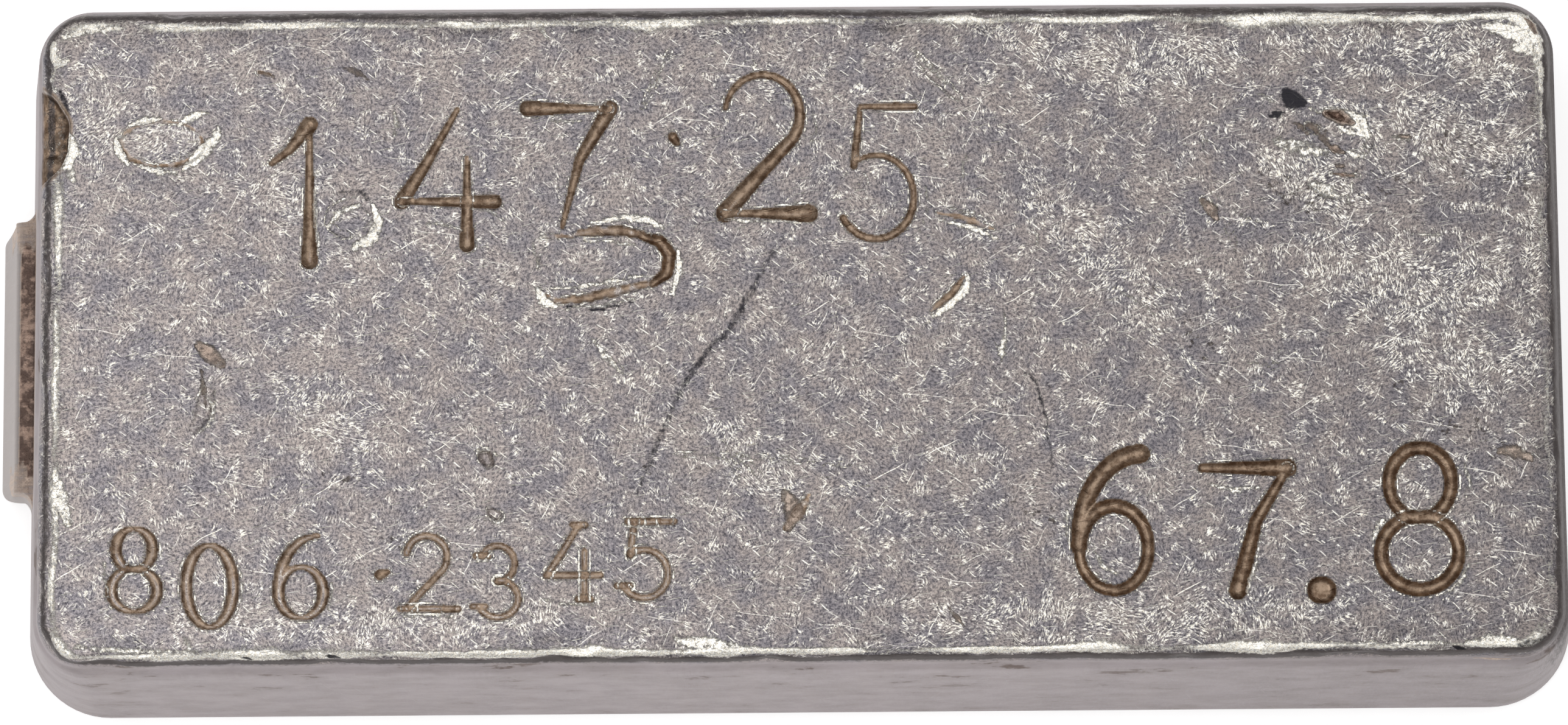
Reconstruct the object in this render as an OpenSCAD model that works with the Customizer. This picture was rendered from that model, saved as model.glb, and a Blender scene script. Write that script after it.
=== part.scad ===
// Hand-poured silver bar: one casting, lying on its poured face with the struck face up.
// +Z is up and +X runs along the bar, away from the pouring lip. The origin is on the floor,
// under the middle of the overall length and width.

/* [Casting] */
// Length of the struck face, between the end walls
face_length = 72.8; // [60:0.1:90]
// Width of the struck face, between the long walls
face_width = 31.6; // [27:0.1:44]
// Height from the poured face to the struck face
bar_height = 12.5; // [9:0.1:18]
// Draft of the four walls, which lets the casting drop out of its mould
draft_angle = 8.8; // [5:0.1:12]
// Radius of the upright corners at the struck face
corner_radius = 2.3; // [1.8:0.1:4]
// Radius worn along the edge of the struck face
struck_edge_radius = 0.8; // [0.4:0.05:1]
// Radius of the poured face's edge, where the metal drew away from the mould
poured_edge_radius = 1.3; // [0.6:0.05:1.6]

/* [Pouring lip] */
// Width of the lip across the end wall
lip_width = 13.4; // [8:0.1:20]
// How far the sawn end of the lip stands out past the end wall
lip_reach = 1.5; // [1:0.1:4]
// Height of the lip above the poured face
lip_height = 5.5; // [3.5:0.1:8]
// Radius of the lip's upper corners, as the pouring notch was cut
lip_shoulder_radius = 1.8; // [0.5:0.1:2.8]
// Radius of the lip's outer corners, seen from above
lip_corner_radius = 0.6; // [0.2:0.05:0.7]
// Radius of the fillets where the lip leaves the end wall
lip_root_radius = 0.8; // [0.3:0.05:1]
// Radius worn along the upper and lower edges of the sawn end
lip_edge_radius = 0.5; // [0.2:0.05:0.8]
// Lean of the sawn end, from upright
lip_saw_angle = 13.8; // [9:0.1:20]

/* [Sink in the poured face] */
// Length of the shallow sink that the metal drew as it froze
sink_length = 58; // [40:0.5:64]
// Width of the sink
sink_width = 23; // [15:0.5:26]
// Depth of the sink at its middle
sink_depth = 0.5; // [0.2:0.05:1]

/* [Flaw in the edge] */
// Length of the cold shut along the end of the struck face
flaw_length = 4.7; // [3:0.1:7]
// How far the cold shut eats into the struck face
flaw_width = 1.45; // [0.8:0.05:2]
// Depth of the cold shut below the struck face, at the wall
flaw_depth = 1.3; // [0.9:0.05:2]
// Slope of its floor, down towards the wall
flaw_floor_angle = 12; // [2:1:20]
// Distance of its middle from the bar's centre line
flaw_offset = 9.7; // [4:0.1:10.5]

/* [Knocks on the edge] */
// Radius of the rounded knocks along the edge of the struck face
knock_radius = 5; // [3:0.1:9]
// Depth of each knock
knock_depth = 0.2; // [0.05:0.01:0.35]

/* [Gouge in the struck face] */
// Length of the two arms of the horseshoe gouge, past the bend that joins them
gouge_arm_length = 4.4; // [2:0.1:7]
// Radius of the bend, along the middle of the gouge
gouge_bend_radius = 1.15; // [0.8:0.05:2]
// Angle at which the two arms spread
gouge_spread = 10; // [0:1:30]
// Radius of the round tool that left it
gouge_tool_radius = 0.45; // [0.3:0.01:0.6]
// Depth of the gouge
gouge_depth = 0.28; // [0.05:0.01:0.3]

/* [Dents in the struck face] */
// Diameter of the largest round dent
dent_diameter = 3.8; // [2:0.1:6]
// Depth of the largest round dent
dent_depth = 0.14; // [0.05:0.01:0.3]

/* [Hidden] */
$fn = 96;
// Sides of a full circle for the sink, whose arcs are short pieces of very wide circles.
sink_sides = 1440;

// How far a cut runs past the face that it starts from.
overrun = 1;

// Edge rounds stay within the upright corners.
struck_round = min(struck_edge_radius, corner_radius / 2);
lip_corner = min(lip_corner_radius, lip_reach / 2);
lip_root = min(lip_root_radius, lip_reach / 2);

// Every level section of the block is a rounded rectangle about the same four upright axes,
// and its corner radius grows towards the floor as the walls lean out.
axis_x = face_length / 2 - corner_radius;
axis_y = face_width / 2 - corner_radius;
base_corner_radius = corner_radius + bar_height * tan(draft_angle);
base_half_length = axis_x + base_corner_radius;

// A round between a level face and a leaning wall has its centre this far in from the line
// where the two would meet: at the head of the wall, and at its foot.
function head_inset(r, lean) = r * (1 / cos(lean) - tan(lean));
function foot_inset(r, lean) = r * (1 / cos(lean) + tan(lean));

// The round at its foot takes this off the reach of a leaning wall.
function foot_loss(r, lean) = foot_inset(r, lean) - r;

// Radius of the circle in which a chord has a given rise.
function arc_radius(chord, rise) = (chord * chord / 4 + rise * rise) / (2 * rise);

// The lip stands out at one end, so the block sits off the middle of the overall length.
block_x = (lip_reach - foot_loss(lip_edge_radius, lip_saw_angle)
    + foot_loss(poured_edge_radius, draft_angle)) / 2;

// Where the knocks are: the wall's compass angle, and the share of the half edge along it.
knock_shares = [
    [270, -0.12],
    [270, 0.90],
    [180, 0.49],
    [0, 0.72],
    [0, 0.08],
    [90, 0.50]
];

// Where the middle of the gouge's bend is, as shares of the half length and half width.
gouge_shares = [-0.200, 0.212];

// Where the dents are, as the same shares, and each one's share of the largest one's size.
dent_shares = [
    [-0.836, 0.565, 1.00],
    [0.721, 0.421, 0.68],
    [-0.587, 0.327, 0.60]
];

// Section through a leaning wall with a rounded foot and head. The wall would meet the floor
// at x = reach, and the section runs back to x = -back.
module wall_section(reach, height, lean, foot_round, head_round, back) {
    foot_x = reach - foot_inset(foot_round, lean);
    head_x = reach - height * tan(lean) - head_inset(head_round, lean);
    head_z = height - head_round;
    polygon([
        [-back, 0],
        [foot_x, 0],
        [foot_x + foot_round * cos(lean), foot_round * (1 + sin(lean))],
        [head_x + head_round * cos(lean), head_z + head_round * sin(lean)],
        [head_x, height],
        [-back, height]
    ]);
    translate([foot_x, foot_round]) circle(foot_round);
    translate([head_x, head_z]) circle(head_round);
}

// The block's wall, from an upright corner axis outwards, and back past it.
module block_section(back) {
    wall_section(base_corner_radius, bar_height, draft_angle,
        poured_edge_radius, struck_round, back);
}

// The block without its lip: two halves along its length, two ends and four corners.
module block() {
    for (side = [0, 1]) {
        mirror([0, side, 0]) translate([-axis_x, axis_y, 0]) rotate([90, 0, 90])
            linear_extrude(2 * axis_x) block_section(axis_y);
        mirror([side, 0, 0]) translate([axis_x, axis_y, 0]) rotate([90, 0, 0])
            linear_extrude(2 * axis_y) block_section(0);
        for (end = [0, 1]) mirror([end, 0, 0]) mirror([0, side, 0])
            translate([axis_x, axis_y, 0]) rotate_extrude(angle = 90) block_section(0);
    }
}

// The lip from above: a tongue with round outer corners, filleted into a wall at x = 0.
module lip_plan() {
    reach = lip_reach * cos(draft_angle);
    root_y = lip_width / 2 + lip_root;
    translate([-base_corner_radius, -lip_width / 2])
        square([base_corner_radius + reach - lip_corner, lip_width]);
    translate([-base_corner_radius, lip_corner - lip_width / 2])
        square([base_corner_radius + reach, lip_width - 2 * lip_corner]);
    for (side = [0, 1]) mirror([0, side]) {
        translate([reach - lip_corner, lip_width / 2 - lip_corner]) circle(lip_corner);
        difference() {
            translate([-base_corner_radius, 0]) square([base_corner_radius + lip_root, root_y]);
            translate([lip_root, root_y]) circle(lip_root);
        }
    }
}

// The pouring notch that the lip froze in, across the bar: upright sides and round shoulders.
module notch_section() {
    half_width = lip_width / 2 + lip_root;
    shoulder_y = half_width - lip_shoulder_radius;
    shoulder_z = lip_height - lip_shoulder_radius;
    translate([-half_width, 0]) square([2 * half_width, shoulder_z]);
    translate([-shoulder_y, 0]) square([2 * shoulder_y, lip_height]);
    for (side = [-1, 1]) translate([side * shoulder_y, shoulder_z]) circle(lip_shoulder_radius);
}

// The lip at x = 0 on a wall that leans towards -X: its plan follows the lean of the wall,
// cut to the notch's section and to the slope of the saw.
module lip() {
    span = 2 * base_corner_radius + lip_reach;
    intersection() {
        rotate([0, -draft_angle, 0]) translate([0, 0, -overrun])
            linear_extrude(lip_height + 2 * overrun) lip_plan();
        translate([-span / 2, 0, 0]) rotate([90, 0, 90]) linear_extrude(span) notch_section();
        translate([0, lip_width, 0]) rotate([90, 0, 0]) linear_extrude(2 * lip_width)
            wall_section(lip_reach, lip_height, lip_saw_angle,
                lip_edge_radius, lip_edge_radius, base_corner_radius);
    }
}

// The sink that is cut from below: a shallow piece of a torus, arched both ways.
module sink() {
    long_radius = arc_radius(sink_length, sink_depth);
    cross_radius = arc_radius(sink_width, sink_depth);
    sweep = 2 * asin((sink_length / 2 + overrun) / long_radius);
    translate([0, 0, sink_depth - long_radius]) rotate([90, sweep / 2 - 90, 0])
        rotate_extrude(angle = sweep, $fn = sink_sides) intersection() {
            translate([long_radius - cross_radius, 0]) circle(cross_radius, $fn = sink_sides);
            translate([long_radius - sink_depth - overrun, -sink_width / 2 - overrun])
                square([sink_depth + 2 * overrun, sink_width + 2 * overrun]);
        }
}

// The cold shut: a round bite out of an end edge at +X, with a floor that slopes outwards.
module flaw() {
    bite_radius = arc_radius(flaw_length, flaw_width);
    translate([face_length / 2, flaw_offset, bar_height - flaw_depth])
        rotate([0, flaw_floor_angle, 0]) translate([bite_radius - flaw_width, 0, 0])
            cylinder(r = bite_radius, h = flaw_depth + 2 * overrun);
}

// Moves a tool to a place on the struck face that is given as shares of its half sizes.
module on_face(shares) {
    translate([shares[0] * face_length / 2, shares[1] * face_width / 2, bar_height]) children();
}

// One arm of the gouge from the bend's end at x = 0 towards -X, with a round tip.
module gouge_arm() {
    translate([-gouge_arm_length, 0, 0]) {
        rotate([0, 90, 0]) cylinder(r = gouge_tool_radius, h = gouge_arm_length);
        sphere(gouge_tool_radius);
    }
}

// The horseshoe gouge: a bend, and an arm from each of its ends that opens towards -X.
module gouge() {
    on_face(gouge_shares) translate([0, 0, gouge_tool_radius - gouge_depth]) {
        rotate([0, 0, gouge_spread - 90]) rotate_extrude(angle = 180 - gouge_spread)
            translate([gouge_bend_radius, 0]) circle(gouge_tool_radius);
        translate([0, gouge_bend_radius, 0]) gouge_arm();
        rotate([0, 0, gouge_spread]) translate([0, -gouge_bend_radius, 0]) gouge_arm();
    }
}

// Shallow round dents in the struck face.
module dents() {
    for (dent = dent_shares) {
        depth = dent[2] * dent_depth;
        ball_radius = arc_radius(dent[2] * dent_diameter, depth);
        on_face(dent) rotate_extrude() intersection() {
            translate([0, ball_radius - depth]) circle(ball_radius);
            translate([0, -dent_depth]) square([dent_diameter, dent_depth + overrun]);
        }
    }
}

// Rounded knocks along the edge of the struck face, each from outside and above.
module knocks() {
    throw = struck_round + knock_radius - knock_depth;
    for (knock = knock_shares) {
        on_end = knock[0] % 180 == 0;
        out = (on_end ? face_length : face_width) / 2 - head_inset(struck_round, draft_angle);
        along = knock[1] * (on_end ? face_width : face_length) / 2;
        rotate([0, 0, knock[0]])
            translate([out + throw * cos(45), along, bar_height - struck_round + throw * sin(45)])
                sphere(knock_radius);
    }
}

module silver_bar() {
    color([0.60, 0.58, 0.60]) translate([block_x, 0, 0]) difference() {
        union() {
            block();
            mirror([1, 0, 0]) translate([base_half_length, 0, 0]) lip();
        }
        sink();
        mirror([1, 0, 0]) flaw();
        knocks();
        gouge();
        dents();
    }
}

silver_bar();
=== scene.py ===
"""Hand-poured silver bar: one casting with struck numerals, dents and a worn, tarnished skin.

Lengths are millimetres until a mesh is made. Places on the struck face are pixels of the
2576 x 1191 picture that the camera frames, turned into millimetres by face_point().
"""

import math

import bpy
import numpy as np
from mathutils import Matrix, Vector
from mathutils.geometry import delaunay_2d_cdt


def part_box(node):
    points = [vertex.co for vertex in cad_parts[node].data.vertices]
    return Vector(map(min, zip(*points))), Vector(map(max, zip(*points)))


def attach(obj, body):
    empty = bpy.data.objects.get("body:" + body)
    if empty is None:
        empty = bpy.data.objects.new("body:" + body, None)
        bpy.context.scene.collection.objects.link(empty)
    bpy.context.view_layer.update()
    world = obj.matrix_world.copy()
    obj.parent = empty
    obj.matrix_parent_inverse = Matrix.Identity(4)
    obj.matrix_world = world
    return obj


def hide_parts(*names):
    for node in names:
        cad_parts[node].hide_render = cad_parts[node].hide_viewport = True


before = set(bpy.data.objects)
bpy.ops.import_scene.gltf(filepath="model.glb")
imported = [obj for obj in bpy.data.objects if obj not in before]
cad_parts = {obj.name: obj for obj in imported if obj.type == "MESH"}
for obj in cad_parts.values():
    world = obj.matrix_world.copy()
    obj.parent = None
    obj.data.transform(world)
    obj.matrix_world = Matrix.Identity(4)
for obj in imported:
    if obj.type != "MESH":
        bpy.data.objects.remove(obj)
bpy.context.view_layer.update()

MM = 0.001

# The casting, in millimetres and degrees, as the CAD has it
BOX_LOW, BOX_HIGH = [np.array(corner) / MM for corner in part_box("silver_bar")]
HEIGHT = BOX_HIGH[2]
FACE_LENGTH = 72.8
FACE_WIDTH = 31.6
DRAFT = math.radians(8.8)
CORNER = 2.3
STRUCK_EDGE = 0.8
POURED_EDGE = 1.3
LIP_WIDTH = 13.4
LIP_REACH = 1.5
LIP_HEIGHT = 5.5
LIP_SHOULDER = 1.8
LIP_CORNER = 0.6
LIP_ROOT = 0.75
LIP_EDGE = 0.5
LIP_SAW = math.radians(13.8)
SINK_LENGTH = 58.0
SINK_WIDTH = 23.0
SINK_DEPTH = 0.5
FLAW_LENGTH = 4.7
FLAW_WIDTH = 1.45
FLAW_DEPTH = 1.3
FLAW_SLOPE = math.radians(12)
FLAW_OFFSET = 9.7
KNOCK_RADIUS = 5.0
KNOCK_DEPTH = 0.2

# Wall compass angle and share of the half edge, for each rounded knock on the edge
KNOCKS = ((270, -0.12), (270, 0.90), (180, 0.49), (0, 0.72), (0, 0.08), (90, 0.50))

# Shares of the half length and half width, then diameter and depth, of the round dents
DENTS = ((-0.836, 0.565, 3.8, 0.14), (0.721, 0.421, 2.584, 0.0952), (-0.587, 0.327, 2.28, 0.084))

TAN_DRAFT = math.tan(DRAFT)
BASE_RADIUS = CORNER + HEIGHT * TAN_DRAFT
AXIS = np.array([FACE_LENGTH / 2 - CORNER, FACE_WIDTH / 2 - CORNER])


def head_inset(radius, lean):
    return radius * (1 / math.cos(lean) - math.tan(lean))


def foot_inset(radius, lean):
    return radius * (1 / math.cos(lean) + math.tan(lean))


HEAD_RHO = CORNER - head_inset(STRUCK_EDGE, DRAFT)
FOOT_RHO = BASE_RADIUS - foot_inset(POURED_EDGE, DRAFT)
BLOCK_X = BOX_HIGH[0] - (AXIS[0] + FOOT_RHO + POURED_EDGE)
ARC_LENGTH = STRUCK_EDGE * (math.pi / 2 - DRAFT)

# The struck patch of the skin covers the face, its rounded edge and this much of the wall.
WALL_TOP = 1.3
PATCH_RHO = HEAD_RHO + ARC_LENGTH + WALL_TOP
PATCH_Z = HEIGHT - STRUCK_EDGE * (1 - math.sin(DRAFT)) - WALL_TOP * math.cos(DRAFT)

# The camera, in millimetres and degrees, fitted to the bar's outline in the picture
IMAGE_SIZE = (2576, 1191)
CAMERA_AZIMUTH = -1.71
CAMERA_ELEVATION = 82.3
CAMERA_ROLL = 1.26
CAMERA_DISTANCE = 250.7
CAMERA_TARGET = np.array([0.05, -1.56, HEIGHT])
CAMERA_FOCAL_PX = 8628
SENSOR_WIDTH = 36.0


def camera_axes():
    """Right, up and backward directions of the camera."""
    azimuth, elevation, roll = np.radians([CAMERA_AZIMUTH, CAMERA_ELEVATION, CAMERA_ROLL])
    back = np.array([math.sin(azimuth) * math.cos(elevation),
                     -math.cos(azimuth) * math.cos(elevation),
                     math.sin(elevation)])
    right = np.array([math.cos(azimuth), math.sin(azimuth), 0.0])
    up = np.cross(back, right)
    rolled_right = right * math.cos(roll) + up * math.sin(roll)
    rolled_up = up * math.cos(roll) - right * math.sin(roll)
    return rolled_right, rolled_up, back


RIGHT, UP, BACK = camera_axes()
EYE = CAMERA_TARGET + BACK * CAMERA_DISTANCE
PIXELS_PER_MM = CAMERA_FOCAL_PX / CAMERA_DISTANCE


def face_point(pixels):
    """Where pixels of the picture meet the struck face, in millimetres from the block's middle."""
    pixels = np.atleast_2d(np.asarray(pixels, float))
    x = (pixels[:, 0] - IMAGE_SIZE[0] / 2) / CAMERA_FOCAL_PX
    y = (pixels[:, 1] - IMAGE_SIZE[1] / 2) / CAMERA_FOCAL_PX
    ray = x[:, None] * RIGHT - y[:, None] * UP - BACK
    reach = (HEIGHT - EYE[2]) / ray[:, 2]
    hit = EYE + reach[:, None] * ray
    return hit[:, :2] - np.array([BLOCK_X, 0.0])


def make_camera():
    data = bpy.data.cameras.new("camera")
    data.sensor_width = SENSOR_WIDTH
    data.lens = CAMERA_FOCAL_PX * SENSOR_WIDTH / IMAGE_SIZE[0]
    data.clip_start = 0.01
    data.clip_end = 10.0
    camera = bpy.data.objects.new("camera", data)
    bpy.context.scene.collection.objects.link(camera)
    turn = Matrix([[RIGHT[i], UP[i], BACK[i]] for i in range(3)]).to_4x4()
    camera.matrix_world = Matrix.Translation(Vector(EYE * MM)) @ turn
    bpy.context.scene.camera = camera


# Smooth random relief


def ripple(points, wavelength, seed, stretch=(1.0, 1.0)):
    """Smooth random values between about -1 and 1, with bumps about a wavelength apart."""
    scaled = points * np.array(stretch) / wavelength
    cell = np.floor(scaled).astype(int)
    part = scaled - cell
    part = part * part * (3 - 2 * part)
    size = 512
    table = np.random.default_rng(seed).uniform(-1, 1, (size, size))
    x, y = cell[:, 0] % size, cell[:, 1] % size
    x1, y1 = (x + 1) % size, (y + 1) % size
    low = table[x, y] * (1 - part[:, 0]) + table[x1, y] * part[:, 0]
    high = table[x, y1] * (1 - part[:, 0]) + table[x1, y1] * part[:, 0]
    return low * (1 - part[:, 1]) + high * part[:, 1]


def smooth(value, low, high):
    """0 below low, 1 above high, and a soft step between them."""
    share = np.clip((value - low) / (high - low), 0, 1)
    return share * share * (3 - 2 * share)


# Grooves: a path with a width and a depth at each of its points


def arc(cx, cy, rx, ry, start, end, count=20):
    angle = np.radians(np.linspace(start, end, count))
    return np.stack([cx + rx * np.cos(angle), cy + ry * np.sin(angle)], 1)


def run(*parts):
    """One path out of points and arcs."""
    return np.concatenate([np.atleast_2d(np.asarray(part, float)) for part in parts])


# Plain numerals in a unit box, x to the right and y down, one path for each stroke
NUMERALS = {
    "0": [arc(0.5, 0.5, 0.44, 0.5, -80, 280, 40)],
    "1": [run((0.12, 0.30), (0.34, 0.20), (0.58, 0.02)), run((0.58, 0.0), (0.58, 1.0))],
    "2": [run(arc(0.46, 0.29, 0.42, 0.29, 190, 395), (0.42, 0.72), (0.04, 1.0)),
          run((0.04, 1.0), (0.98, 1.0))],
    "3": [arc(0.45, 0.25, 0.38, 0.25, 205, 450), arc(0.45, 0.74, 0.46, 0.26, -90, 155)],
    "4": [run((0.60, 0.0), (0.30, 0.38), (0.03, 0.68)), run((0.03, 0.68), (0.98, 0.68)),
          run((0.70, 0.36), (0.70, 1.0))],
    "5": [run((0.24, 0.02), (0.92, 0.02)), run((0.24, 0.02), (0.16, 0.46)),
          arc(0.44, 0.69, 0.48, 0.31, -125, 150, 26)],
    "6": [run(arc(0.86, 0.64, 0.80, 0.64, 268, 180), arc(0.5, 0.69, 0.44, 0.31, 180, 540, 34))],
    "7": [run((0.02, 0.03), (0.97, 0.03)), run((0.97, 0.03), (0.62, 0.45), (0.42, 1.0))],
    "8": [arc(0.5, 0.25, 0.36, 0.25, 90, 450, 30), arc(0.5, 0.74, 0.45, 0.26, -90, 270, 34)],
    "9": [run(arc(0.5, 0.31, 0.44, 0.31, 0, -360, 34), arc(0.14, 0.36, 0.80, 0.64, 0, 88))],
}


def resample(path, step):
    """The same path with points a step apart."""
    leg = np.hypot(*np.diff(path, axis=0).T)
    along = np.concatenate([[0], np.cumsum(leg)])
    count = max(3, int(math.ceil(along[-1] / step)) + 1)
    want = np.linspace(0, along[-1], count)
    return np.stack([np.interp(want, along, path[:, 0]), np.interp(want, along, path[:, 1])], 1)


class Groove:
    """A sunk line with a narrow floor, and a thin raised burr along its rim."""

    def __init__(self, path, half_width, depth, floor=0.16, burr=0.02, stain=1.0, rough=0.0,
                 hollow=0.35):
        self.path = path
        share = np.linspace(0, 1, len(path))
        self.half_width = np.interp(share, np.linspace(0, 1, len(half_width)), half_width)
        self.depth, self.floor, self.burr, self.stain, self.rough = depth, floor, burr, stain, rough
        self.hollow = hollow
        reach = self.half_width.max() + 1.2
        self.low = path.min(0) - reach
        self.high = path.max(0) + reach

        self.amount, self.rise = 1.0, 0.0

    def near(self, points):
        return np.flatnonzero(np.all((points > self.low) & (points < self.high), axis=1))

    def rim(self, points):
        """Signed distance past the rim, and the half width and share of the path beside it."""
        best = np.full(len(points), np.inf)
        width = np.zeros(len(points))
        share = np.zeros(len(points))
        for i in range(len(self.path) - 1):
            a, b = self.path[i], self.path[i + 1]
            leg = b - a
            t = np.clip(((points - a) @ leg) / max(leg @ leg, 1e-12), 0, 1)
            gap = points - a - t[:, None] * leg
            here = self.half_width[i] * (1 - t) + self.half_width[i + 1] * t
            past = np.hypot(gap[:, 0], gap[:, 1]) - here
            closer = past < best
            best[closer] = past[closer]
            width[closer] = here[closer]
            share[closer] = (i + t[closer]) / (len(self.path) - 1)
        return best, width, share


def pixel_groove(pixels, widths_px, depth, **more):
    path = resample(face_point(pixels), 0.12)
    return Groove(path, [w / 2 / PIXELS_PER_MM for w in widths_px], depth, **more)


def struck(numeral, box, widths_px, depth, thin=None, serif=0, **more):
    """The grooves of a numeral in a box of pixels. Widths run along each stroke."""
    left, top, right, bottom = box
    grooves = []
    for path in NUMERALS[numeral]:
        pixels = path * np.array([right - left, bottom - top]) + np.array([left, top])
        mm = resample(face_point(pixels), 0.12)
        if thin is None:
            widths = np.array(widths_px) / 2 / PIXELS_PER_MM
        else:
            tangent = np.gradient(mm, axis=0)
            upright = np.abs(tangent[:, 1]) / np.hypot(tangent[:, 0], tangent[:, 1])
            widths = (thin + (widths_px[0] - thin) * upright ** 1.5) / 2 / PIXELS_PER_MM
        grooves.append(Groove(mm, widths, depth, **more))
        if serif:
            for end in (path[0], path[-1]):
                if 0.2 < end[1] < 0.8:
                    continue
                centre = end * np.array([right - left, bottom - top]) + np.array([left, top])
                bar = centre + np.array([[-serif, 0], [serif, 0]])
                grooves.append(pixel_groove(bar, [widths_px[0]] * 2, depth, **more))
    return grooves


def make_marks():
    """Plain numerals where the bar was struck by hand."""
    grooves = []
    tapered = dict(depth=0.24, floor=0.18, burr=0.025, hollow=0.45)
    for numeral, box, widths in (
            ("1", (430, 200, 565, 428), (11, 15, 21, 30)),
            ("4", (655, 180, 815, 402), (11, 15, 21, 27)),
            ("7", (864, 172, 1006, 372), (28, 22, 15, 10)),
            ("2", (1185, 122, 1332, 350), (11, 16, 23, 32)),
            ("5", (1382, 170, 1512, 392), (10, 13, 15, 14))):
        grooves += struck(numeral, box, widths, **tapered)
    bold = dict(depth=0.33, floor=0.14, burr=0.03, hollow=0.2)
    grooves += struck("6", (1765, 745, 1895, 970), (34, 28, 23, 19), **bold)
    grooves += struck("7", (1972, 762, 2120, 970), (16, 21, 26, 31), **bold)
    grooves += struck("8", (2262, 735, 2405, 968), (22, 24, 26, 22), **bold)
    grooves.append(pixel_groove([(2170, 969), (2174, 969)], (46, 46), 0.36, floor=0.55, burr=0.03))
    punch = dict(depth=0.20, floor=0.30, burr=0.03, stain=0.8, hollow=0.8)
    for numeral, box in (("8", (178, 868, 262, 1005)), ("0", (300, 896, 388, 1030)),
                         ("6", (452, 880, 536, 1015))):
        grooves += struck(numeral, box, (22,), thin=11, **punch)
    grooves.append(pixel_groove([(624, 944), (636, 940)], (20, 12), 0.16, floor=0.2, burr=0.02))
    slab = dict(depth=0.17, floor=0.34, burr=0.03, stain=0.8, hollow=0.85)
    for numeral, box in (("2", (664, 880, 744, 1000)), ("3", (784, 896, 858, 1014)),
                         ("4", (895, 862, 988, 984)), ("5", (1022, 854, 1104, 982))):
        grooves += struck(numeral, box, (14, 14), serif=10, **slab)
    return grooves


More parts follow.
